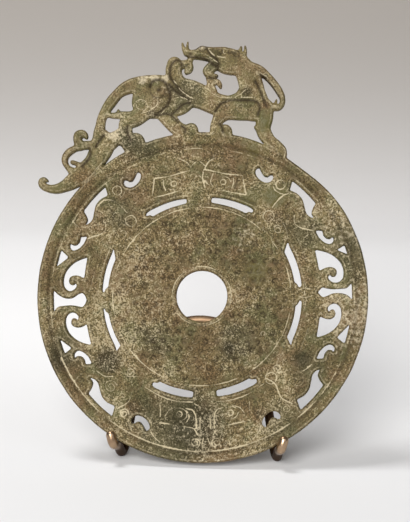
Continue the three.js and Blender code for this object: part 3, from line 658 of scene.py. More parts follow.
# The dragon's cut lines that hold deposit.
LIGHT_LINES = (
    ((-40.6, 101.6), (-40.2, 105), (-37, 107.2), (-33.6, 105.8), (-33, 102.8), (-35, 101)),
    ((-18.9, 118.2), (-16, 114.4), (-12.4, 111), (-8, 108.4)),
    ((-19.6, 107.8), (-14.4, 109), (-9.8, 107)),
    ((-9.8, 134.6), (-6.4, 133.6), (-2.6, 133.2), (0.8, 131.4), (4.8, 128.6)),
    ((-0.4, 137), (0.9, 134.6), (3.2, 132.6), (7, 131.6), (9.4, 131.2)),
    ((13.2, 130.9), (16.2, 130.7), (19, 132.1)),
    ((-19, 110.4), (-18.8, 107.1), (-22.4, 102.6), (-25.4, 99.4)),
    ((-36, 99.4), (-31, 101.6), (-27.2, 105.4), (-27.6, 108.4)),
    ((2.4, 111.4), (6.6, 109.4), (12.4, 109.2), (17.4, 110.8), (20.4, 113.4)),
    ((1.4, 108.2), (6, 106.6), (11, 107.4)),
    ((15.6, 109), (21, 109.6), (26.4, 109.4)),
    ((27.6, 124.2), (32, 120.8), (35.8, 116.6), (38.8, 111.8)),
    ((-62.4, 64.6), (-60, 68.2), (-57.2, 71.4), (-54, 74.2)),
    ((12.4, 89.6), (13.4, 91.2), (12.6, 93.4)),
    ((42.4, 82.2), (43.2, 80), (42.8, 77)),
    ((-50.6, 89), (-54, 91.8), (-55.2, 95.4)),
    ((-24.6, 121), (-30, 119.6), (-36.4, 119.4)),
)

# The dragon's spirals: (x, y, size, start in degrees, turns, end size, cream, half width, depth).
COILS = (
    (-27, 112.6, 2.9, 60, 1.3, 0.45, 0.8, 0.5, 0.4), (-27, 112.6, 0.7, 0, 1, 0.4, 0, 0.8, 0.8),
    (-27.2, 112.4, 4.6, 150, 0.6, 0.8, 0, 0.5, 0.5), (-36.7, 103.9, 2.6, 20, 0.8, 0.8, 0.7, 0.45, 0.35),
    (-32.5, 104, 1.7, 60, 0.7, 0.7, 0.7, 0.4, 0.35), (18, 103.4, 2.6, 40, 1.4, 0.3, 0.55, 0.45, 0.4),
    (24.2, 103.6, 2, 200, 1.1, 0.3, 0.3, 0.4, 0.4), (-3.6, 136, 1.35, 0, 1, 1, 0, 0.4, 0.55),
    (5.8, 134.8, 1.9, 250, 1.1, 0.5, 0.05, 0.45, 0.6), (2.6, 135, 1, 0, 0.7, 0.8, 0.05, 0.4, 0.5),
    (15.3, 133.8, 1.9, 180, 1.1, 0.5, 0.05, 0.45, 0.6), (11.6, 134.6, 1.1, 90, 0.7, 0.8, 0.05, 0.4, 0.5),
    (8.9, 134.6, 1.2, 90, 0.6, 0.8, 0.8, 0.36, 0.3), (-11.6, 126.2, 1.4, 0, 1.2, 0.3, 0.1, 0.4, 0.4),
    (-69.2, 85.4, 1.3, 0, 1.2, 0.3, 0.1, 0.4, 0.4),
)


def upper_mask(busy: float) -> tuple:
    """Half of the upper mask: frame, brow block and nose strokes, two of them as creamy as busy says."""
    return (
        *eye_rings(63.3),
        Line(0.95, ((25.2, 60.1), (15, 58.7), (9, 59.3), (6.2, 62), (6.9, 67.1)), 0.5),
        Line(1, ((3, 69.2), (7, 68.5), (13.2, 68), (20, 69.4)), 0.5),
        Line(0.95, ((20.2, 69.6), (22.4, 65.1), (25.4, 60))),
        Line(0.9, ((16.6, 66.6), (17.4, 64), (17.2, 61.4)), 0.5),
        Line(0.1, ((18.5, 67.4), (18.9, 64.4), (18.6, 61.4)), 0.42, 0.45),
        Line(0.85, ((2.6, 69), (2, 64.6), (3.4, 59.2))),
        Line(busy, ((0.7, 65.6), (3.4, 62.4), (8, 59.2))),
        Line(0.9, ((3, 69.6), (4.6, 73.6), (7.8, 76.2)), 0.5),
        Line(0, ((10.2, 57), (20, 57.2), (32, 57.8)), 0.6, 0.4),
        Line(0.1, ((9.4, 70.2), (15, 70.4), (20.2, 71), (20.8, 75), (20.2, 79.2)), 0.42, 0.4),
        Line(0.5, ((9.4, 71.2), (10, 74.6), (10, 78.8))),
        Line(busy, ((1, 73.4), (2.8, 71.6), (3.2, 70))),
        Line(0.5, ((4.6, 79.4), (6.8, 77.8), (9.6, 78))),
    )


@dataclass
class Carving:
    """Everything incised on the jade: the masks above and below, the spirals, bands, the worn grain
    pattern on the inner disc, and the dragon's own lines."""

    seed: int = 7
    grain_pitch: float = 5.6
    grain_size: float = 1.55
    grain_band: tuple = (19.5, 45.6)
    lines: list[Line] = field(default_factory=list)

    def pattern(self, quarter: Quarter, lines: tuple) -> None:
        """Adds lines given in a quarter's pattern coordinates; one of two points is straight.

        Args:
            quarter: the quarter.
            lines: the lines.
        """
        for line in lines:
            flat = pattern_to_disc(quarter, np.array(line.path, float))
            whole = isinstance(line.path, np.ndarray) or len(line.path) == 2
            self.lines.append(replace(line, path=flat if whole else smooth_curve(flat)))

    def plain(self, cream: float, points: tuple, *cut: float) -> None:
        """Adds a line given in the disc's plane."""
        self.lines.append(Line(cream, smooth_curve(points), *cut))

    def circle(
        self, radius: float, shift: float, cream: float, *cut: float | bool, arc: tuple = (0, 360, 181)
    ) -> None:
        """Adds a circle, or an arc of one, whose centre stands above the disc's.

        Args:
            radius: its radius.
            shift: how far above.
            cream: the deposit it holds.
            cut: half width, depth and whether it is on the back too.
            arc: first and last degrees, clockwise from the top, and the number of points.
        """
        angle = np.radians(np.linspace(*arc))
        path = np.stack([radius * np.sin(angle), radius * np.cos(angle) + shift], axis=1)
        self.lines.append(Line(cream, path, *cut))

    def rim_and_rings(self) -> None:
        """The rim's groove, the light lines beside it, the inner disc's two rings and the hole's lip."""
        self.circle(83.9, -1.1, 0.3, 0.75, 0.5, True)
        self.circle(82.3, -1.4, 0.6, 0.5, 0.15)
        self.circle(83.1, -0.4, 1.0, 0.6, -0.1, arc=(118, 245, 70))
        self.circle(50.2, 0.0, 0.25, 0.5, 0.35, True)
        self.circle(48.4, 0.0, 0.85, 0.42, 0.22, True)
        self.circle(16.0, 0.0, 0.8, 0.5, 0.25, True)

    def grains(self) -> None:
        """The worn pattern of small C-scrolls on the inner disc: a triangular lattice of grains, each a
        short arc at its own turn."""
        rng = np.random.default_rng(self.seed)
        rows, cols = np.meshgrid(np.arange(-10, 11), np.arange(-10, 11), indexing="ij")
        x = (cols + 0.5 * (rows % 2)) * self.grain_pitch
        y = rows * self.grain_pitch * 0.87
        centres = np.stack([x.ravel(), y.ravel()], axis=1) + rng.normal(0, 0.35, (x.size, 2))
        radius = np.hypot(centres[:, 0], centres[:, 1])
        for centre in centres[(radius > self.grain_band[0]) & (radius < self.grain_band[1])]:
            start, turns = rng.uniform(0, 2 * np.pi), rng.uniform(0.5, 0.85)
            form = unit_spiral(start, turns * rng.choice([-1, 1]), 0.45, 9)
            wear = rng.uniform(0.3, 1.0)
            cream = 0.7 if rng.random() < 0.3 else 0.0
            self.lines.append(Line(cream * wear, centre + self.grain_size * form, 0.5, 0.3 + 0.35 * wear))

    def dragon(self) -> None:
        """The dragon's lines: creases where two limbs meet, darkened by painted shade and grime, light
        cuts, fine strokes and spirals.
        """
        for path in CREASES:
            self.plain(0.0, path, 0.85, 0.8)
        for path in LIGHT_LINES:
            self.plain(0.8, path, 0.42, 0.28)
        fine = (0.34, 0.3)
        for k in range(5):
            self.plain(0.6, ((5.2 + 1.3 * k, 101.4 + 0.5 * k), (7.4 + 1.3 * k, 103.6 + 0.5 * k)), *fine)
        for k in range(6):
            self.plain(0.6, ((23 + 0.9 * k, 112.6 - k), (24.4 + k, 111 - k)), *fine)
        for k in range(6):
            down = 1.5 * k
            self.plain(0.6, ((-19.6 - 0.55 * k, 109.4 - down), (-17.6 - 0.75 * k, 108.2 - down)), *fine)
            self.plain(0.6, ((-35.6 + 1.5 * k, 101.6 + 0.4 * k), (-34.9 + 1.5 * k, 102.9 + 0.5 * k)), *fine)
        for x, y, size, start, turns, end, *cut in COILS:
            form = unit_spiral(math.radians(start), turns, end, int(20 * turns) + 4)
            self.lines.append(Line(cut[0], size * form + (x, y), *cut[1:]))

    def carve(self) -> list[Line]:
        """Every line of the carving, each with its whole path in the disc's plane."""
        self.rim_and_rings()
        for quarter in Quarter:
            busy = 0.95 if quarter is Quarter.UPPER_LEFT else 0.7
            self.pattern(quarter, LOWER_MASK if quarter.lower else upper_mask(busy))
            self.pattern(quarter, LOWER_SPIRALS if quarter.lower else UPPER_SPIRALS)
            self.pattern(quarter, BAND)
        self.grains()
        self.dragon()
        return self.lines


# ---------------------------------------------------------------- weathering


# Weathered patches of each kind: (x, y, radius, strength). The darkened ones are partly stains and partly
# painted shade: the large ones low on the disc make its lower part darker, and some small ones darken
# hollows of the dragon.
PATCHES = {
    Patch.GREYED: (
        (-14, -74, 24, 1), (44, -66, 16, 0.7), (-74, -30, 15, 0.8), (56, 36, 12, 0.8), (-46, 44, 12, 0.7),
        (-12, 110, 12, 0.8), (2, 127, 6, 0.8), (58, -38, 12, 0.7), (-36, 86, 12, 0.9), (82, 26, 22, 0.8),
        (20, -24, 14, 0.9), (-24, -24, 12, 0.7),
    ),
    Patch.REDDENED: (
        (-10, 4, 40, 0.42), (16, -26, 22, 0.4), (-66, 61, 9, 0.62), (-69, 50, 8, 0.5), (4, -42, 13, 0.6),
        (-36, 16, 12, 0.55), (8, -88, 20, 0.55), (34, -64, 6, 1), (-24, 29, 12, 0.35), (-36, -62, 6, 0.7),
        (17, 76, 9, 0.45), (-14, 60, 8, 0.3), (31.8, 105, 3, 0.8), (-2, -28, 14, 0.4),
    ),
    Patch.POLISHED: (
        (12, 34, 8, 0.3), (31.5, 95, 9, 0.8), (38, 55, 9, 1), (22, 120, 8, 0.6), (12, 127, 8, 0.5),
        (24, 52.5, 9, 0.7), (-82, 57.5, 8, 0.7), (27, 82, 11, 0.7), (-81, 30, 12, 0.5), (30, 13, 11, 0.75),
        (-62, 14, 8, 0.4), (74, 22, 10, 0.3), (-55, 104, 9, 0.55), (20, 99, 7, 0.5), (58, -14, 12, 0.3),
        (-76, -20, 9, 0.4), (12, -62, 8, 0.4),
    ),
    # partly stains, partly painted shade: darker low on the disc and in hollows of the dragon
    Patch.DARKENED: (
        (15.5, -28, 4.5, 0.8), (-19, -30, 5, 0.45), (-50, -37, 9, 0.8), (-43, 82, 10, 0.6),
        (-77, -38, 9, 0.7), (-2, -69, 22, 0.72), (-44, 60, 9, 0.5), (55, -32, 7, 0.7), (58, -52, 10, 0.45),
        (-30, -60, 12, 0.5), (34, -22, 10, 0.3), (-12, 113, 8, 0.35), (-24, 104, 8, 0.4), (44, 40, 8, 0.4),
        (21.5, 112.4, 4, 0.7), (31, 121, 2.4, 0.8), (-30, 99.5, 4, 0.6),
    ),
    Patch.BLEACHED: (
        (-36, 118.6, 3.6, 1), (-29.5, 119.6, 3.4, 1), (-23.4, 119.4, 3, 1), (-3.5, 137.8, 3, 1),
        (-51, 88, 5, 0.9), (85, -8, 26, 0.6), (-84, -8, 8, 0.45), (22, 33, 12, 0.45), (78, 42, 22, 0.5),
        (5, -86, 30, 0.42), (10, 74, 16, 0.25), (-22, 114, 4, 0.6), (30, -36, 12, 0.3), (-60, 40, 10, 0.3),
    ),
}


def patch_field(where: np.ndarray, kind: Patch) -> np.ndarray:
    """Strength of one kind of weathering: the greatest of its patches, each falling off as a bell.

    Args:
        where: points, one per row (x, y).
        kind: the kind.

    Returns:
        The strengths.
    """
    value = np.zeros(len(where))
    for x, y, radius, strength in PATCHES[kind]:
        away2 = ((where - (x, y)) ** 2).sum(1) / radius**2
        value = np.maximum(value, strength * np.exp(-1.2 * away2**1.4))
    return value


def wear_waves(where: np.ndarray, seed: int, size: float) -> np.ndarray:
    """Gentle unevenness of hand-ground stone: a sum of a dozen plane waves of about one wavelength.

    Args:
        where: points, one per row (x, y).
        seed: seed of the waves' turns, lengths and phases.
        size: the wavelength.

    Returns:
        Heights of about -1 to 1.
    """
    rng = np.random.default_rng(seed)
    angle, phase = rng.uniform(0, 2 * np.pi, 12), rng.uniform(0, 2 * np.pi, 12)
    length = size * rng.uniform(0.7, 1.5, 12)
    along = where @ np.stack([np.cos(angle), np.sin(angle)])
    return np.sin(2 * np.pi * along / length + phase).sum(1) / 4.5


# ---------------------------------------------------------------- the jade plate


# The marching squares table, cases 1 to 14: the outline goes from a cell's first side to its second.
CELL_STEPS = "BL RB RL TR BL+TR TB TL LT BT RB+LT RT LR BR LB"


@dataclass
class JadeBi:
    """The disc and dragon, one stone: outline, triangulation, heights and surface attributes.

    lattice and cell are for (back, front), and reach is how far the points go (to the sides, down, up).
    The half thicknesses are those of the inner disc, the sunk band and the rim. The groove inside the rim
    is (radius, drop towards the top, width), and the rim's dip is (depth, degrees from the top, width in
    degrees). A valley is (height it fades below, over what height, least depth, width), and each wear is
    (depth, seed, wavelength). The valleys between limbs and the band where the dragon meets the disc,
    meet_width wide, are where shade is painted.
    """

    outline_step: float = 0.5
    edge_gap: float = 0.78
    row_depths: tuple = (0.3, 0.85, 1.5)
    back_rows: int = 2
    line_gap: float = 0.8
    line_offsets: tuple = (0.0, 0.36, -0.36, 0.8, -0.8)
    lattice: tuple = (2.1, 1.35)
    cell: tuple = (0.8, 0.52)
    reach: tuple = (94.0, -92.0, 143.0)
    disc_half: float = 2.8
    band_half: float = 2.42
    rim_half: float = 3.0
    inner_edge: tuple = (48.0, 49.4)
    groove: tuple = (83.75, 1.1, 1.2)
    rim_dip: tuple = (1.8, 36.0, 12.0)
    rim_round: float = 1.5
    cut_round: float = 0.75
    thinnest: float = 0.5
    row_slack: float = 0.12
    clearance: float = 0.55
    limb_skirt: float = 0.35
    valley: tuple = (2.25, 0.5, 0.9, 0.16)
    meet_width: float = 0.25
    edge_wear: tuple = (0.06, 3, 14.0)
    line_wear: tuple = (0.35, 11, 16.0)
    face_wear: tuple = ((0.07, 21, 7.0), (0.05, 23, 3.2))
    openings: list = field(default_factory=opening_outlines)
    lines: list = field(default_factory=lambda: Carving().carve())

    def disc_depth(self, where: np.ndarray) -> tuple[np.ndarray, np.ndarray]:
        """Depth inside the disc's rim, which dips a little on the upper right, and distance to the
        nearest cut.

        Args:
            where: points, one per row (x, y).

        Returns:
            The depth inside the rim and the distance to the hole or nearest opening, negative inside it.
        """
        radius = np.hypot(where[:, 0], where[:, 1])
        turn = np.degrees(np.arctan2(where[:, 0], where[:, 1]))
        dip, at, width = self.rim_dip
        wear, *waves = self.edge_wear
        worn = dip * np.exp(-(((turn - at) / width) ** 2)) + wear * (1 + wear_waves(where, *waves))
        cut = np.minimum(radius - HOLE_RADIUS, -OUTSIDE)
        for outline in self.openings:
            near = in_window(where, outline, 4.0)
            cut[near] = np.minimum(cut[near], -signed_inside(where[near], outline))
        return DISC_RADIUS - worn - radius, cut

    def dragon_field(self, where: np.ndarray) -> tuple[np.ndarray, np.ndarray, np.ndarray]:
        """The dragon as a union of limbs: at a point the greatest depth and the greatest swell of them all.

        Args:
            where: points, one per row (x, y).

        Returns:
            Depth inside the dragon's outline, the height of its swell, and how near a point is to a low
            valley between two limbs: a bell of the difference of the two greatest swells.
        """
        depth, height, second = (np.full(len(where), OUTSIDE) for _ in range(3))
        for limb in LIMBS.values():
            path = limb.path()
            near = in_window(where, path, float(path[:, 2].max()) + 1.5)
            if not len(near):
                continue
            _, inside = chord_distance(where[near], path)
            depth[near] = np.maximum(depth[near], inside)
            swell = np.where(inside > -self.limb_skirt, limb.height(inside, path), OUTSIDE)
            second[near] = np.maximum(second[near], np.minimum(height[near], swell))
            height[near] = np.maximum(height[near], swell)
        top, fade, least, width = self.valley
        low = np.clip((top - height) / fade, 0, 1) * (depth > least)
        return depth, height, low * np.exp(-(((height - second) / width) ** 2))

    def stone_depth(self, where: np.ndarray) -> np.ndarray:
        """Depth inside the stone: the greater of the disc's and the dragon's."""
        return np.maximum(np.minimum(*self.disc_depth(where)), self.dragon_field(where)[0])

    def loops(self) -> list[np.ndarray]:
        """The outline's closed loops, stone on the left.

        The depth inside the stone is sampled on a square grid. Each cell's crossings of zero are joined
        by the marching squares table: from a cell side (bottom, top, left or right) to the side where the
        outline leaves. The crossings are then put in order, smoothed along the loop and spaced evenly.

        Returns:
            The loops' rows (x, y).
        """
        side, low, high = self.reach
        xs = np.arange(-side, side + 0.01, self.outline_step)
        ys = np.arange(low, high + 0.01, self.outline_step)
        grid = np.stack(np.meshgrid(xs, ys), axis=-1).reshape(-1, 2)
        flat = self.stone_depth(grid)
        flat[np.abs(flat) < 1e-6] = 1e-6
        ny, nx = len(ys), len(xs)
        inside = (flat > 0).reshape(ny, nx)
        case = inside[:-1, :-1] + 2 * inside[:-1, 1:] + 4 * inside[1:, 1:] + 8 * inside[1:, :-1]
        row, col = np.meshgrid(np.arange(ny - 1), np.arange(nx - 1), indexing="ij")
        bottom, left = row * nx + col, nx * ny + row * nx + col
        ids = {"B": bottom, "T": bottom + nx, "L": left, "R": left + 1}
        after = np.full(2 * nx * ny, -1)
        for number, steps in enumerate(CELL_STEPS.split(), start=1):
            here = case == number
            for start, end in steps.split("+"):
                after[ids[start][here]] = ids[end][here]
        used = np.flatnonzero(after >= 0)
        upright = used >= nx * ny
        a = np.where(upright, used - nx * ny, used)
        b = np.where(upright, a + nx, a + 1)
        share = flat[a] / (flat[a] - flat[b])
        points = grid[a] + share[:, None] * (grid[b] - grid[a])
        return self.ordered(points, np.searchsorted(used, after[used]))

    def ordered(self, points: np.ndarray, after: np.ndarray) -> list[np.ndarray]:
        """Closed chains of points from their successors: the least index names a chain, and a point's
        place is the number of steps left to the chain's end, both found by doubling the links.

        Args:
            points: the crossings.
            after: the next point of each.

        Returns:
            The chains, smoothed and evenly spaced; very short ones are left out.
        """
        own = np.arange(len(points))
        label, jump = own, after
        for _ in range(DOUBLINGS):
            label = np.minimum(label, label[jump])
            jump = jump[jump]
        link = np.where(after == label, own, after)
        left = (link != own).astype(int)
        for _ in range(DOUBLINGS):
            left = left + left[link]
            link = link[link]
        order = np.lexsort((-left, label))
        result = []
        for chain in np.split(points[order], np.flatnonzero(np.diff(label[order])) + 1):
            if len(chain) < SHORTEST_CHAIN:
                continue
            for _ in range(2):
                chain = 0.5 * chain + 0.25 * (np.roll(chain, 1, 0) + np.roll(chain, -1, 0))
            result.append(spaced(chain, self.edge_gap, closed=True))
        return result

    @staticmethod
    def thinned(points: np.ndarray, keep: int, cell: float) -> np.ndarray:
        """Drops points that share a grid cell with an earlier one, on two grids half a cell apart.

        Args:
            points: rows (x, y).
            keep: how many of the first points always stay.
            cell: the cell's side.

        Returns:
            The rows left.
        """
        for shift in (0.0, 0.5):
            key = np.floor(points / cell + shift).astype(np.int64)
            stay = np.zeros(len(points), bool)
            stay[np.unique(key[:, 0] * KEY_STRIDE + key[:, 1], return_index=True)[1]] = True
            stay[:keep] = True
            points = points[stay]
        return points

    def side_points(self, edge: np.ndarray, inward: np.ndarray, front: bool) -> np.ndarray:
        """Points of one side's surface: the outline, rows inside it, rows along the carved lines, and a
        lattice.

        Args:
            edge: the outline's points.
            inward: unit vectors into the stone at them.
            front: the front, or the back.

        Returns:
            Rows (x, y), the outline's first.
        """
        depths = self.row_depths if front else self.row_depths[: self.back_rows]
        sets = [edge + inward * depth for depth in depths]
        for line in self.lines:
            if front or line.on_back:
                path = spaced(line.path, self.line_gap)
                across = left_of(unit(np.gradient(path, axis=0))) * (line.half_width / PLAIN_HALF_WIDTH)
                sets += [path + across * offset for offset in self.line_offsets]
        side, low, high = self.reach
        gap = self.lattice[front]
        i, j = np.meshgrid(np.arange(-side, side + 1, gap), np.arange(low, high, gap * 0.87))
        shift = 0.5 * gap * (np.arange(i.shape[0])[:, None] % 2)
        inner = np.vstack([*sets, np.stack([(i + shift).ravel(), j.ravel()], axis=1)])
        need = np.full(len(inner), self.clearance)
        need[: len(depths) * len(edge)] = np.repeat(depths, len(edge)) - self.row_slack
        inner = inner[self.stone_depth(inner) > need]
        return self.thinned(np.vstack([edge, inner]), len(edge), self.cell[front])

    @staticmethod
    def rounding(depth: np.ndarray, radius: float) -> np.ndarray:
        """How far a quarter circle of a radius falls at a depth inside an edge."""
        in_reach = np.clip(radius - np.maximum(depth, 0), 0, radius)
        return radius - np.sqrt(radius * radius - in_reach**2)

    def disc_height(self, where: np.ndarray, rim: np.ndarray, cut: np.ndarray) -> np.ndarray:
        """Height of the disc alone: its half thickness at that radius less a quarter circle within each
        edge.

        Args:
            where: points, one per row (x, y).
            rim: depths inside the rim.
            cut: distances to the nearest cut.

        Returns:
            The heights.
        """
        radius = np.hypot(where[:, 0], where[:, 1])
        upward = np.cos(np.arctan2(where[:, 0], where[:, 1]) + PATTERN_TURN)
        at, drop, width = self.groove
        rise = np.clip((radius - at + drop * upward) / width, 0, 1)
        height = np.interp(radius, self.inner_edge, (self.disc_half, self.band_half))
        height += (self.rim_half - self.band_half) * rise * rise * (3 - 2 * rise)
        height -= np.maximum(self.rounding(rim, self.rim_round), self.rounding(cut, self.cut_round))
        return np.where(np.minimum(rim, cut) > -0.3, height, OUTSIDE)

    def heights(self, where: np.ndarray, front: bool) -> dict[str, np.ndarray]:
        """Height above the middle plane and the surface attributes.

        The surface is the higher of the disc and the swell of the dragon's limbs, less the carved lines,
        each a bell across its width, plus the unevenness of hand-ground stone.

        Args:
            where: points, one per row (x, y).
            front: the front, or the back.

        Returns:
            One value per point by name.
        """
        rim, cut = self.disc_depth(where)
        depth, swell, valley = self.dragon_field(where)
        disc = self.disc_height(where, rim, cut)
        height = np.maximum(disc, swell)
        cream, shade = np.zeros(len(where)), np.zeros(len(where))
        wear, *waves = self.line_wear
        worn = np.clip(0.75 + wear * wear_waves(where, *waves), 0.25, 1.0)
        for line in self.lines:
            near = in_window(where, line.path, 2.2)
            if not len(near) or not (front or line.on_back):
                continue
            away, _ = chord_distance(where[near], line.path)
            bell = np.exp(-((away / line.half_width) ** 2))
            tight = np.exp(-((away / (0.85 * line.half_width)) ** 4))
            height[near] -= 0.9 * line.depth * bell
            cream[near] = np.maximum(cream[near], line.cream * tight * worn[near])
            # painted shade: a carved line without cream is darkened by its depth, as shade in its groove
            # together with its grime
            shade[near] = np.maximum(shade[near], (line.depth / 0.65) * (1 - line.cream) * bell)
        # painted shade where the dragon meets the disc and in the low valleys between two limbs
        meet = np.exp(-(((swell - disc) / self.meet_width) ** 2)) * (np.minimum(rim, depth) > 0.5)
        shade = np.maximum(shade, np.maximum(0.5 * meet, 0.7 * valley * (swell > disc)))
        height += sum(wear * wear_waves(where, *waves) for wear, *waves in self.face_wear)
        return {
            "height": np.maximum(height, self.thinnest), "cream": cream, "shade": shade,
            "edge": np.maximum(np.minimum(rim, cut), depth), "dragon": (swell > disc).astype(float),
            **{kind.value: patch_field(where, kind) for kind in Patch},
        }

    def triangles(self, points: np.ndarray, after: np.ndarray) -> np.ndarray:
        """Constrained Delaunay triangles of the stone, counter-clockwise.

        The triangulation covers the whole convex hull. A triangle is stone when it has a point that isn't
        on the outline or has an outline edge in its own direction, and air when it has one against it.
        What is then undecided takes the answer of a neighbour across an edge that isn't outline.

        Args:
            points: all points of one side, the outline's first.
            after: the next outline point of each outline point.

        Returns:
            Rows of three point numbers.
        """
        count, size = len(after), len(points)
        edges = list(zip(range(count), after.tolist()))
        made = delaunay_2d_cdt([Vector(p) for p in points.tolist()], edges, [], CONVEX_HULL, 1e-6)
        if len(made[0]) != size:
            raise ValueError("outline points coincide")
        faces = np.array([f for f in made[2] if len(f) == 3])
        a, b, c = (points[faces[:, k]] for k in range(3))
        area = (b[:, 0] - a[:, 0]) * (c[:, 1] - a[:, 1]) - (b[:, 1] - a[:, 1]) * (c[:, 0] - a[:, 0])
        faces[area < 0] = faces[area < 0][:, ::-1]
        start, end = faces, np.roll(faces, -1, axis=1)
        keys, mirrored = start * size + end, end * size + start
        outline = np.arange(count) * size + after
        with_it, against = np.isin(keys, outline), np.isin(mirrored, outline)
        state = np.where(with_it.any(1) | (faces >= count).any(1), 1, 0)
        state[against.any(1)] = -1
        order = np.argsort(keys.ravel())
        found = np.minimum(np.searchsorted(keys.ravel()[order], mirrored.ravel()), keys.size - 1)
        match = order[found]
        linked = (keys.ravel()[match] == mirrored.ravel()) & ~(with_it | against).ravel()
        neighbour = np.where(linked, match // 3, -1).reshape(-1, 3)
        told = np.ones(1)
        while told.any():
            undecided = np.flatnonzero(state == 0)
            around = neighbour[undecided]
            told = np.sign(np.where(around >= 0, state[around], 0).sum(1))
            state[undecided] = told
        return faces[state > 0]

    def build(self) -> bpy.types.Object:
        """The closed mesh of the stone: front and back over the same outline, and a wall between them.

        Returns:
            The mesh object, in metres in the standing frame.
        """
        loops = self.loops()
        edge = np.vstack(loops)
        starts = np.cumsum([0] + [len(loop) for loop in loops])
        turns = [np.roll(np.arange(len(loop)), -1) for loop in loops]
        after = np.concatenate([start + turn for start, turn in zip(starts, turns)])
        before = np.empty_like(after)
        before[after] = np.arange(len(after))
        inward = left_of(unit(edge[after] - edge[before]))
        sides = []
        for front in (True, False):
            points = self.side_points(edge, inward, front)
            sides.append((points, self.triangles(points, after), self.heights(points, front)))
            log.info("jade %s: %d points", "front" if front else "back", len(points))
        (front_points, front_faces, front_fields), (back_points, back_faces, back_fields) = sides
        offset, here = len(front_points), np.arange(len(edge))
        walls = np.stack([here, here + offset, after + offset, after], axis=1)
        faces = [front_faces, back_faces[:, ::-1] + offset, walls[:, [0, 1, 2]], walls[:, [0, 2, 3]]]
        out = np.concatenate([front_fields.pop("height"), -back_fields.pop("height")])
        points = leaned(np.vstack([front_points, back_points]), out)
        stone = mesh_object("jade_bi_carved", points * MM, np.vstack(faces))
        for name, values in front_fields.items():
            both = np.concatenate([values, back_fields[name]]).astype(np.float32)
            stone.data.attributes.new(name, "FLOAT", "POINT").data.foreach_set("value", both)
        log.info("jade: %d loops, %d triangles", len(loops), len(stone.data.polygons))
        return stone


def leaned(plane: np.ndarray, out: np.ndarray) -> np.ndarray:
    """Disc-plane points to the standing frame: the plane leans back, and its own height points forwards.

    Args:
        plane: rows (x, y).
        out: their heights in front of the plane.

    Returns:
        Rows (x, y, z), still in millimetres.
    """
    s, c = math.sin(LEAN), math.cos(LEAN)
    x, y = plane[:, 0], plane[:, 1]
    return np.stack([x, y * s - out * c, y * c + out * s], axis=1) + DISC_CENTRE


def mesh_object(name: str, points: np.ndarray, faces: np.ndarray) -> bpy.types.Object:
    """A smooth-shaded mesh object at the origin.

    Args:
        name: the object's name.
        points: rows (x, y, z) in metres.
        faces: rows of point numbers, all of one length.

    Returns:
        The object, linked to the scene.
    """
    mesh = bpy.data.meshes.new(name)
    mesh.vertices.add(len(points))
    mesh.vertices.foreach_set("co", points.astype(np.float32).ravel())
    mesh.loops.add(faces.size)
    mesh.loops.foreach_set("vertex_index", faces.astype(np.int32).ravel())
    mesh.polygons.add(len(faces))
    mesh.polygons.foreach_set("loop_start", np.arange(0, faces.size, faces.shape[1], np.int32))
    mesh.polygons.foreach_set("loop_total", np.full(len(faces), faces.shape[1], np.int32))
    mesh.polygons.foreach_set("use_smooth", np.ones(len(faces), bool))
    mesh.update(calc_edges=True)
    mesh.validate()
    made = bpy.data.objects.new(name, mesh)
    bpy.context.scene.collection.objects.link(made)
    return made


# ---------------------------------------------------------------- the easel's wires


@dataclass(frozen=True)
class Corner:
    """A corner of a wire's path and the radius it is bent to."""

    point: tuple
    radius: float = 0.0


def bent(corners: list[Corner], arc_steps: int = 14) -> np.ndarray:
    """A path through corners, each replaced by an arc of its radius that touches both of its sides.

    Args:
        corners: the path's ends and the corners between them.
        arc_steps: chords on each arc.

    Returns:
        The path's rows (x, y, z).
    """
    path = [np.array([corners[0].point], float)]
    for before, corner, after in zip(corners, corners[1:], corners[2:]):
        here = np.array(corner.point, float)
        to, fro = unit(np.array(before.point) - here), unit(np.array(after.point) - here)
        half = math.acos(float(np.clip(to @ fro, -1, 1))) / 2
        centre = here + unit(to + fro) * corner.radius / math.sin(half)
        start = here + to * corner.radius / math.tan(half) - centre
        end = here + fro * corner.radius / math.tan(half) - centre
        sweep = np.pi - 2 * half
        t = np.linspace(0, 1, arc_steps + 1)[:, None]
        path.append(centre + (np.sin((1 - t) * sweep) * start + np.sin(t * sweep) * end) / math.sin(sweep))
    path.append(np.array([corners[-1].point], float))
    return np.vstack(path)


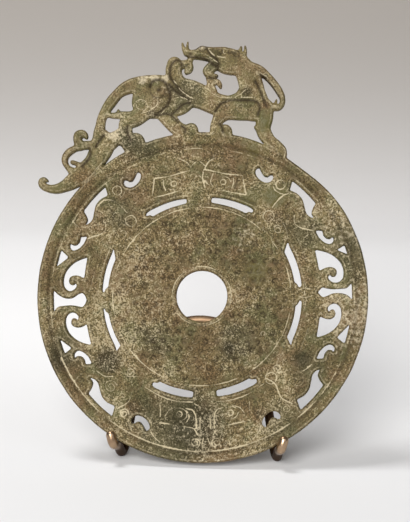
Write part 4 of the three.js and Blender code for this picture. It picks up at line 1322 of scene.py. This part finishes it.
@dataclass(frozen=True)
class RoundWire:
    """Round wire closed by half-ellipsoid or nearly flat tips.

    domes says how far each tip stands out, in radii. flare is how much the wire swells at its start, and
    the length over which the swelling dies away.
    """

    radius: float
    domes: tuple
    flare: tuple = (0.0, 1.0)
    sides: int = 28
    dome_rows: int = 6
    gap: float = 0.9
    ground: float = 0.02

    def rings(self, path: np.ndarray) -> tuple[np.ndarray, np.ndarray]:
        """Circles square to an evenly spaced path; over a tip they shrink as the cosine of an angle whose
        sine carries them out.

        Args:
            path: the wire's middle line.

        Returns:
            The circles' points, one circle per row, and the two poles.
        """
        line = spaced(path, self.gap)
        tangent = unit(np.gradient(line, axis=0))
        first, last = tangent[:1] * self.radius * self.domes[0], tangent[-1:] * self.radius * self.domes[1]
        turn = np.linspace(0, np.pi / 2, self.dome_rows + 1)[:-1]
        rise, shrink = np.sin(turn)[:, None], np.cos(turn)
        middle = np.vstack([line[:1] - first * rise[::-1], line[1:-1], line[-1:] + last * rise])
        ends = [np.repeat(tangent[k : k + 1], self.dome_rows, 0) for k in (0, len(tangent) - 1)]
        along = np.vstack([ends[0], tangent[1:-1], ends[1]])
        swell = self.radius + self.flare[0] * np.exp(-((run_along(line) / self.flare[1]) ** 2))
        size = np.concatenate([shrink[::-1] * swell[0], swell[1:-1], shrink * swell[-1]])[:, None, None]
        right = unit(np.cross(along, np.array([1.0, 1.0, 0.0])))
        up = np.cross(along, right)
        angle = np.linspace(0, 2 * np.pi, self.sides, endpoint=False)[None, :, None]
        circle = np.cos(angle) * right[:, None, :] + np.sin(angle) * up[:, None, :]
        return middle[:, None, :] + size * circle, np.vstack([line[:1] - first, line[-1:] + last])

    def build(self, name: str, path: np.ndarray) -> bpy.types.Object:
        """The closed mesh: quads between circles, each as two triangles, and a fan round each pole.

        Args:
            name: the object's name.
            path: the wire's middle line in millimetres.

        Returns:
            The mesh object, in metres.
        """
        rings, poles = self.rings(path)
        count, sides = rings.shape[:2]
        i, k = np.meshgrid(np.arange(count - 1), np.arange(sides), indexing="ij")
        a, b = (i * sides + k).ravel(), (i * sides + (k + 1) % sides).ravel()
        k = np.arange(sides)
        this, other, pole = k, (k + 1) % sides, np.full(sides, count * sides)
        lid = (count - 1) * sides
        corners = [(a, b, b + sides), (a, b + sides, a + sides), (pole, other, this),
                   (pole + 1, lid + this, lid + other)]
        faces = np.vstack([np.stack(corner, axis=1) for corner in corners])
        points = np.vstack([rings.reshape(-1, 3), poles])
        points[:, 2] = np.maximum(points[:, 2], self.ground)
        return mesh_object(name, points * MM, faces)


@dataclass(frozen=True)
class Easel:
    """The wire easel: a front wire with two hooks, arms, feet and the arch behind the disc, and a
    straight rear leg brazed to the arch. Points up to the placing are from the ground under the disc's
    centre."""

    wire_radius: float = 2.6
    touch_gap: float = 0.3
    jade_half: float = 2.8
    arch_top_drop: float = 12.7
    arch_radius: float = 34.5
    leg_splay: float = 9.0
    foot_half_span: float = 42.3
    foot_y: float = -4.0
    foot_bend: float = 4.2
    foot_corner_z: float = -1.95
    hook_half_span: float = 45.1
    tip_half_span: float = 46.4
    hook_drop: float = 81.0
    tip_drop: float = 76.1
    hook_standoff: float = 6.1
    hook_bend: float = 3.5
    arm_back: tuple = (43.6, -82.0, -6.0)
    arm_bend: float = 12.0
    rear_foot_y: float = 48.0
    placing: tuple = (0.960, -10.912, 0.003)
    centre_height: float = 89.0

    def off_disc(self, x: float, up: float, out: float) -> tuple:
        """A point given in the disc's plane and in front of it, before the placing."""
        s, c = math.sin(LEAN), math.cos(LEAN)
        return (x, up * s - out * c, self.centre_height + up * c + out * s)

    @property
    def arch_top(self) -> np.ndarray:
        """The highest point of the arch's middle line."""
        behind = self.jade_half + self.touch_gap + self.wire_radius
        return np.array(self.off_disc(0, -self.arch_top_drop, -behind))

    def arch_points(self, degrees: np.ndarray) -> np.ndarray:
        """Points of the arch: a circle in the plane from the arch's top to the feet.

        Args:
            degrees: angles from its top.

        Returns:
            Rows (x, y, z).
        """
        top = self.arch_top
        down = unit(np.array([0, self.foot_y - top[1], self.wire_radius - top[2]]))
        angle = np.radians(degrees)
        points = top + self.arch_radius * (1 - np.cos(angle))[:, None] * down
        points[:, 0] = self.arch_radius * np.sin(angle)
        return points

    def front_path(self) -> np.ndarray:
        """The front wire's middle line: one side's corners and half of the arch, then the same mirrored.

        Returns:
            Rows (x, y, z) from one hook's tip to the other's.
        """
        arch = self.arch_points(np.linspace(90 - self.leg_splay, 0, 40))
        side = bent([
            Corner(self.off_disc(self.tip_half_span, -self.tip_drop, self.hook_standoff)),
            Corner(self.off_disc(self.hook_half_span, -self.hook_drop, self.hook_standoff), self.hook_bend),
            Corner(self.off_disc(*self.arm_back), self.arm_bend),
            Corner((self.foot_half_span, self.foot_y, self.foot_corner_z), self.foot_bend),
            Corner(tuple(arch[0])),
        ])
        half = np.vstack([side, arch[1:]])
        return np.vstack([half, half[-2::-1] * (-1, 1, 1)]) + self.placing

    def build(self) -> tuple[bpy.types.Object, bpy.types.Object]:
        """The two wires, the rear leg starting inside the arch's.

        Returns:
            The front wire and the rear leg.
        """
        front = RoundWire(self.wire_radius, (0.92, 0.92)).build("easel_front_wire_round", self.front_path())
        foot = np.array([0, self.rear_foot_y, self.wire_radius])
        start = self.arch_top + unit(foot - self.arch_top) * (0.75 * self.wire_radius)
        leg = np.array([start, foot]) + self.placing
        rear = RoundWire(self.wire_radius, (0.05, 0.9), (0.7, 1.6)).build("easel_rear_leg_round", leg)
        return front, rear


# ---------------------------------------------------------------- finishes


def tint(red: int, green: int, blue: int) -> tuple:
    """A colour written in display levels 0 to 255 as linear light with full alpha."""
    level = np.array([red, green, blue]) / 255
    linear = np.where(level <= 0.04045, level / 12.92, ((level + 0.055) / 1.055) ** 2.4)
    return (*linear.tolist(), 1.0)


@dataclass(frozen=True)
class Value:
    """A number or colour inside a material: arithmetic on it adds the nodes that work it out."""

    graph: "Graph"
    socket: bpy.types.NodeSocket

    def maths(self, operation: str, *others: "Value | float", clamp: bool = False) -> "Value":
        """A Math node on this value and the others."""
        inputs = dict(enumerate((self, *others)))
        return self.graph.add("ShaderNodeMath", {"operation": operation, "use_clamp": clamp}, inputs)

    def __add__(self, other: "Value | float") -> "Value":
        """Sum."""
        return self.maths("ADD", other)

    __radd__ = __add__

    def __mul__(self, other: "Value | float") -> "Value":
        """Product."""
        return self.maths("MULTIPLY", other)

    __rmul__ = __mul__

    def __sub__(self, other: "Value | float") -> "Value":
        """Difference."""
        return self.maths("SUBTRACT", other)

    def __rsub__(self, other: float) -> "Value":
        """Difference from a plain number."""
        return self.graph.add("ShaderNodeMath", {"operation": "SUBTRACT"}, {0: other, 1: self})

    def clamp(self) -> "Value":
        """The value held between 0 and 1."""
        return self.maths("ADD", 0.0, clamp=True)

    def step(self, low: float, high: float) -> "Value":
        """Smooth step: 0 at low, 1 at high, the other way round when low is the greater.

        Args:
            low: where it is 0.
            high: where it is 1.

        Returns:
            The step.
        """
        ends = (low, high, 0.0, 1.0) if low < high else (high, low, 1.0, 0.0)
        inputs = {"Value": self, **dict(zip(("From Min", "From Max", "To Min", "To Max"), ends))}
        return self.graph.add("ShaderNodeMapRange", {"interpolation_type": "SMOOTHSTEP"}, inputs)


class Graph:
    """A material's node tree."""

    def __init__(self, name: str) -> None:
        """An empty material."""
        self.material = bpy.data.materials.new(name)
        self.material.use_nodes = True
        self.tree = self.material.node_tree
        self.tree.nodes.clear()

    def add(self, kind: str, settings: dict, inputs: dict, output: int | str = 0) -> Value | None:
        """A node of a type, with its settings made before its inputs are filled.

        Args:
            kind: the node's type.
            settings: attributes of the node.
            inputs: values or plain numbers by input name or index.
            output: name or index of the output returned.

        Returns:
            The output as a value, or None from a node that has none.
        """
        node = self.tree.nodes.new(kind)
        for key, value in settings.items():
            setattr(node, key, value)
        for key, value in inputs.items():
            if isinstance(value, Value):
                self.tree.links.new(value.socket, node.inputs[key])
            else:
                node.inputs[key].default_value = value
        return Value(self, node.outputs[output]) if node.outputs else None

    def place(self) -> Value:
        """Object coordinates in millimetres."""
        metres = self.add("ShaderNodeTexCoord", {}, {}, "Object")
        return self.add("ShaderNodeVectorMath", {"operation": "SCALE"}, {0: metres, "Scale": 1 / MM})

    def coordinate(self, where: Value, axis: str) -> Value:
        """One coordinate of a place."""
        return self.add("ShaderNodeSeparateXYZ", {}, {"Vector": where}, axis)

    def noise(
        self, where: Value, size: float, detail: float = 3.0, rough: float = 0.55, twist: float = 0.0
    ) -> Value:
        """Fractal noise from 0 to 1 with features of about a size in millimetres."""
        inputs = {"Vector": where, "Scale": 1 / size, "Detail": detail, "Roughness": rough}
        return self.add("ShaderNodeTexNoise", {}, {**inputs, "Distortion": twist}, "Fac")

    def attribute(self, name: str) -> Value:
        """A number stored on the mesh's points."""
        return self.add("ShaderNodeAttribute", {"attribute_name": name}, {}, "Fac")

    def blend(self, factor: Value | float, under: Value | tuple, over: Value | tuple) -> Value:
        """One colour over another."""
        settings = {"data_type": "RGBA", "clamp_factor": True}
        return self.add("ShaderNodeMix", settings, {0: factor, 6: under, 7: over}, 2)

    def bump(self, height: Value, distance: float, strength: float) -> Value:
        """A normal from a height, in millimetres of relief."""
        inputs = {"Height": height, "Distance": distance * MM, "Strength": strength}
        return self.add("ShaderNodeBump", {}, inputs)

    def surface(self, inputs: dict) -> bpy.types.Material:
        """Closes the tree with a Principled surface and returns the material."""
        shader = self.add("ShaderNodeBsdfPrincipled", {}, inputs)
        self.add("ShaderNodeOutputMaterial", {"target": "ALL"}, {"Surface": shader})
        return self.material


@dataclass(frozen=True)
class WeatheredJade:
    """Olive-brown jade with cream deposits, dark pitting, reddish stains and greener polished ground."""

    body_dark: tuple = tint(71, 61, 36)
    body_light: tuple = tint(126, 110, 74)
    handled: tuple = tint(128, 116, 80)
    warm: tuple = tint(106, 84, 58)
    cool: tuple = tint(86, 86, 54)
    reddened: tuple = tint(108, 82, 54)
    greyed: tuple = tint(84, 79, 55)
    polished: tuple = tint(70, 67, 26)
    darkened: tuple = tint(37, 33, 17)
    bleached: tuple = tint(188, 175, 148)
    deposit: tuple = tint(186, 173, 143)
    dirt_and_painted_shade: tuple = tint(44, 34, 19)
    gloss: float = 0.1

    def material(self) -> bpy.types.Material:
        """The jade's material.

        The ground runs from dark to light with broad noise. It is smoother and lighter on the dragon,
        which was handled most, and turns warm or cool with a noise of its own. Patches stored on the mesh
        shift it to their own colours; the darkened ones are partly stains and partly painted shade, darker
        low on the disc and in some hollows of the dragon. Fine noise above a threshold lays cream specks,
        and below another it opens dark pits; both fade where the stone is polished. Deposit also lies just
        inside the edges, and carved lines hold cream. A dark tint, partly grime and partly painted shade,
        darkens the grooves by their depth, the creases, the valleys between limbs and where the dragon
        meets the disc.

        Returns:
            The material.
        """
        g = Graph("weathered_jade")
        at = g.place()
        broad = g.noise(at, 26, 3, 0.6, 0.4)
        patchy = g.noise(at, 8.5, 4, 0.6, 0.3)
        hue = g.noise(at, 15, 4, 0.65, 0.5)
        speck = g.noise(at, 1.9, 5, 0.7)
        grain = g.noise(at, 0.75, 3, 0.6)
        pits = g.noise(at, 0.95, 4, 0.62, 0.3)
        dragon, edge = g.attribute("dragon"), g.attribute("edge")
        polish = (g.attribute("polished") + (patchy - 0.5)).step(0.28, 0.9)
        red = (g.attribute("reddened") + (patchy - 0.5) * 0.9).step(0.12, 0.9)
        dark = (g.attribute("darkened") + (broad - 0.5) * 0.8).step(0.1, 0.85)
        grey = (g.attribute("greyed") + (patchy - 0.5) * 0.9).step(0.15, 0.9)
        bleach = (g.attribute("bleached") + (speck - 0.5) * 2.2).step(0.35, 1.05)
        raw = 1.0 - polish
        specks = (speck * 0.45 + grain * 0.55 + (broad - 0.5) * 0.4).step(0.52, 0.63) * raw
        pit = (pits * 0.55 + grain * 0.45 - (patchy - 0.5) * 0.35).step(0.52, 0.4)
        pit = pit * (0.25 + 0.75 * raw) * (1.0 - 0.15 * dragon)
        rimmed = edge.step(0.7, 1.15) * edge.step(1.9, 1.3) * (speck + 0.35 * patchy).step(0.52, 0.78)
        shade = g.attribute("shade") * (0.6 + 0.7 * patchy)
        cream = (g.attribute("cream") * (0.55 + 0.9 * speck)).step(0.28, 0.72)
        colour = g.blend((broad * 0.55 + patchy * 0.6).step(0.36, 0.74), self.body_dark, self.body_light)
        for factor, over in (
            (dragon * (0.05 + 0.55 * broad), self.handled),
            (hue.step(0.5, 0.62) * 0.55, self.warm),
            (hue.step(0.5, 0.38) * 0.55, self.cool),
            (red * 0.8, self.reddened),
            (grey * 0.75, self.greyed),
            (polish * (0.55 + 0.4 * speck), self.polished),
            # darkened patches: partly stains, partly painted shade low on the disc and in hollows of the
            # dragon
            (dark * 0.8, self.darkened),
            (specks * 0.5, self.deposit),
            (pit * 0.72, self.darkened),
            (bleach * 0.75, self.bleached),
            (rimmed * 0.35, self.deposit),
            # painted shade, partly grime: dark tint in grooves, creases, limb valleys and at the dragon's
            # base
            (shade.clamp() * 0.85, self.dirt_and_painted_shade),
            (cream * 0.85, self.deposit),
        ):
            colour = g.blend(factor, colour, over)
        rough = 0.52 + 0.2 * specks + 0.2 * cream + 0.12 * pit - 0.22 * polish
        relief = speck * 0.6 + grain * 0.35 - pit * 0.9 + cream * 0.25
        return g.surface({
            "Base Color": colour, "Roughness": rough.clamp(), "Normal": g.bump(relief, 0.22, 0.85),
            "IOR": 1.6, "Specular IOR Level": self.gloss,
        })


@dataclass(frozen=True)
class PolishedBrass:
    """Pinkish brass wire: the hooks softly polished, the wire behind them dull, and painted shade in brown
    low down.
    """

    metal: tuple = tint(178, 152, 124)
    tarnish: tuple = tint(130, 104, 80)
    brown: tuple = tint(64, 44, 28)
    hooks_end: float = -31.0
    painted_shade_top: float = 44.0

    def material(self) -> bpy.types.Material:
        """The wire's material: noise tarnishes it, more so behind the hooks, where below its middle painted
        shade turns it dark brown.

        Returns:
            The material.
        """
        g = Graph("polished_brass")
        at = g.place()
        worn = g.noise(at, 9, 4, 0.6)
        fine = g.noise(at, 0.7, 2, 0.5)
        depth, height = g.coordinate(at, "Y"), g.coordinate(at, "Z")
        back = (depth + (worn - 0.5) * 6.0).step(self.hooks_end - 3.0, self.hooks_end + 3.0)
        behind = back * height.step(self.painted_shade_top + 20.0, self.painted_shade_top)
        colour = g.blend(worn.step(0.42, 0.72) * 0.6, self.metal, self.tarnish)
        colour = g.blend(back * 0.7, colour, self.tarnish)
        # painted shade: dark brown on the wire low down behind the hooks, under the disc
        colour = g.blend(behind * 0.92, colour, self.brown)
        rough = 0.2 + 0.14 * worn + 0.08 * fine + 0.24 * back
        normal = g.bump(fine, 0.02, 0.4)
        return g.surface({"Base Color": colour, "Metallic": 1.0, "Roughness": rough, "Normal": normal})


def finish_piece(piece: bpy.types.Object, material: bpy.types.Material, node: str) -> None:
    """Gives a piece its material, attaches it to the root and hides the CAD node it stands for.

    Args:
        piece: the finished piece.
        material: its material.
        node: the CAD node it replaces.
    """
    piece.data.materials.append(material)
    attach(piece, "root")
    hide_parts(node)
    log.info("%s stands for %s: %d faces", piece.name, node, len(piece.data.polygons))


# ---------------------------------------------------------------- studio


@dataclass(frozen=True)
class Lamp:
    """A soft square light: where it is, what it points at (metres), its size and power."""

    name: str
    place: tuple
    target: tuple
    size: float
    power: float
    colour: tuple

    def build(self) -> None:
        """Adds the light to the scene."""
        data = bpy.data.lights.new(self.name, "AREA")
        data.size, data.energy, data.color = self.size, self.power, self.colour
        lamp = bpy.data.objects.new(self.name, data)
        lamp.location = self.place
        aim = Vector(self.target) - Vector(self.place)
        lamp.rotation_euler = aim.to_track_quat("-Z", "Y").to_euler()
        bpy.context.scene.collection.objects.link(lamp)


@dataclass(frozen=True)
class Studio:
    """Pale floor running up into a backdrop that greys with distance, soft lights from the upper left,
    and the camera. The fades of the paper are along y, from the near tint to the paper's and on to the
    far one, and are painted shade: the paper slightly darker close in front and grey far back."""

    floor_front: float = -1.6
    floor_back: float = 0.75
    sweep_radius: float = 0.6
    wall_top: float = 1.9
    half_width: float = 2.2
    near_paper_shaded: tuple = tint(222, 222, 223)
    paper: tuple = tint(249, 249, 250)
    far_paper_shaded: tuple = tint(161, 155, 149)
    near_fade: tuple = (-150.0, 350.0)
    far_fade: tuple = (620.0, 1300.0)
    ambient: tuple = (0.78, 0.79, 0.82, 1.0)
    ambient_level: float = 0.15
    lamps: tuple = (
        Lamp("key", (-0.45, -2.3, 1.25), (0.0, 0.0, 0.12), 1.3, 84.0, (1.0, 0.99, 0.97)),
        Lamp("fill", (1.7, -1.6, 1.0), (0.0, 0.0, 0.1), 1.2, 6.0, (0.97, 0.985, 1.0)),
        Lamp("overhead", (-0.7, 0.0, 2.0), (-0.25, 0.25, 0.0), 0.6, 20.0, (1.0, 0.998, 0.995)),
    )

    def paper_material(self) -> bpy.types.Material:
        """Matt paper whose tint changes with depth into the room, as painted shade: a little darker in
        front and grey far back.

        Returns:
            The material.
        """
        g = Graph("studio_paper")
        depth = g.coordinate(g.place(), "Y")
        # painted shade: the paper darker near the front and greying into the distance
        colour = g.blend(depth.step(*self.near_fade), self.near_paper_shaded, self.paper)
        colour = g.blend(depth.step(*self.far_fade), colour, self.far_paper_shaded)
        return g.surface({"Base Color": colour, "Roughness": 0.9, "Specular IOR Level": 0.1})

    def backdrop(self) -> None:
        """Adds the sweep: flat floor, a quarter circle and a wall, each row of points running across."""
        bend = np.linspace(0, np.pi / 2, 17)
        y = self.floor_back + self.sweep_radius * np.sin(bend)
        y = np.concatenate([[self.floor_front], y, y[-1:]])
        z = np.concatenate([[0.0], self.sweep_radius * (1 - np.cos(bend)), [self.wall_top]])
        across = np.array([-self.half_width, self.half_width])
        points = np.stack(np.broadcast_arrays(across[None, :], y[:, None], z[:, None]), axis=-1)
        row = np.arange(len(y) - 1) * 2
        faces = np.stack([row, row + 1, row + 3, row + 2], axis=1)
        sweep = mesh_object("studio_sweep", points.reshape(-1, 3), faces)
        sweep.data.materials.append(self.paper_material())

    def surroundings(self) -> None:
        """Even pale air, and colours shown as they are."""
        world = bpy.data.worlds.new("studio_air")
        world.use_nodes = True
        background = world.node_tree.nodes["Background"]
        background.inputs["Color"].default_value = self.ambient
        background.inputs["Strength"].default_value = self.ambient_level
        bpy.context.scene.world = world
        bpy.context.scene.view_settings.view_transform = "Standard"

    def build(self) -> None:
        """Backdrop, surroundings, lamps and camera."""
        self.backdrop()
        self.surroundings()
        for lamp in self.lamps:
            lamp.build()
        Camera().build()


@dataclass(frozen=True)
class Camera:
    """The camera, placed about the disc's centre in axes that lean with the disc and turn with its small
    roll.

    It stands to the right of and below the disc's own axis, and aims so that the disc's centre falls left
    of and below the middle of the frame, by the aims in millimetres on the sensor.
    """

    distance: float = 800.0
    right: float = math.radians(3.5)
    below: float = math.radians(-3.5)
    roll: float = math.radians(1.7)
    sensor: float = 24.0
    lens: float = 67.678
    aim_right: float = 0.1425
    aim_up: float = 1.623
    clip: tuple = (0.05, 20.0)

    @staticmethod
    def turned(one: np.ndarray, other: np.ndarray, angle: float) -> tuple[np.ndarray, np.ndarray]:
        """Two vectors at right angles turned in their plane, the first away from the second."""
        c, s = math.cos(angle), math.sin(angle)
        return c * one - s * other, s * one + c * other

    def axes(self) -> tuple[np.ndarray, np.ndarray]:
        """The camera's own axes: it looks back at the disc's centre from its place, then turns to its aim.

        Returns:
            The unit vector from the disc's centre to the camera, and the camera's axes as rows.
        """
        s, c = math.sin(LEAN), math.cos(LEAN)
        across, up, out = np.array([1.0, 0, 0]), np.array([0, s, c]), np.array([0, -c, s])
        up, across = self.turned(up, across, self.roll)
        level = math.sin(self.right) * across + math.cos(self.right) * out
        outward = math.sin(self.below) * up + math.cos(self.below) * level
        side = unit(np.cross(up, outward))
        upward = np.cross(outward, side)
        side, back = self.turned(side, outward, math.atan(-self.aim_right / self.lens))
        upward, back = self.turned(upward, back, math.atan(-self.aim_up / self.lens))
        return outward, np.array([side, upward, back])

    def build(self) -> None:
        """Adds the camera and makes it the scene's."""
        outward, axes = self.axes()
        data = bpy.data.cameras.new("camera")
        data.sensor_fit = "VERTICAL"
        data.sensor_height, data.lens = self.sensor, self.lens
        data.clip_start, data.clip_end = self.clip
        camera = bpy.data.objects.new("camera", data)
        place = Vector((DISC_CENTRE + self.distance * outward) * MM)
        camera.matrix_world = Matrix.Translation(place) @ Matrix(axes.T.tolist()).to_4x4()
        bpy.context.scene.collection.objects.link(camera)
        bpy.context.scene.camera = camera


def main() -> None:
    """Builds the jade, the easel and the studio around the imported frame."""
    logging.basicConfig(level=logging.INFO, format="%(message)s")
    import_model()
    finish_piece(JadeBi().build(), WeatheredJade().material(), "jade_bi")
    front, rear = Easel().build()
    brass = PolishedBrass().material()
    finish_piece(front, brass, "easel_front_wire")
    finish_piece(rear, brass, "easel_rear_leg")
    Studio().build()


if __name__ == "__main__":
    main()
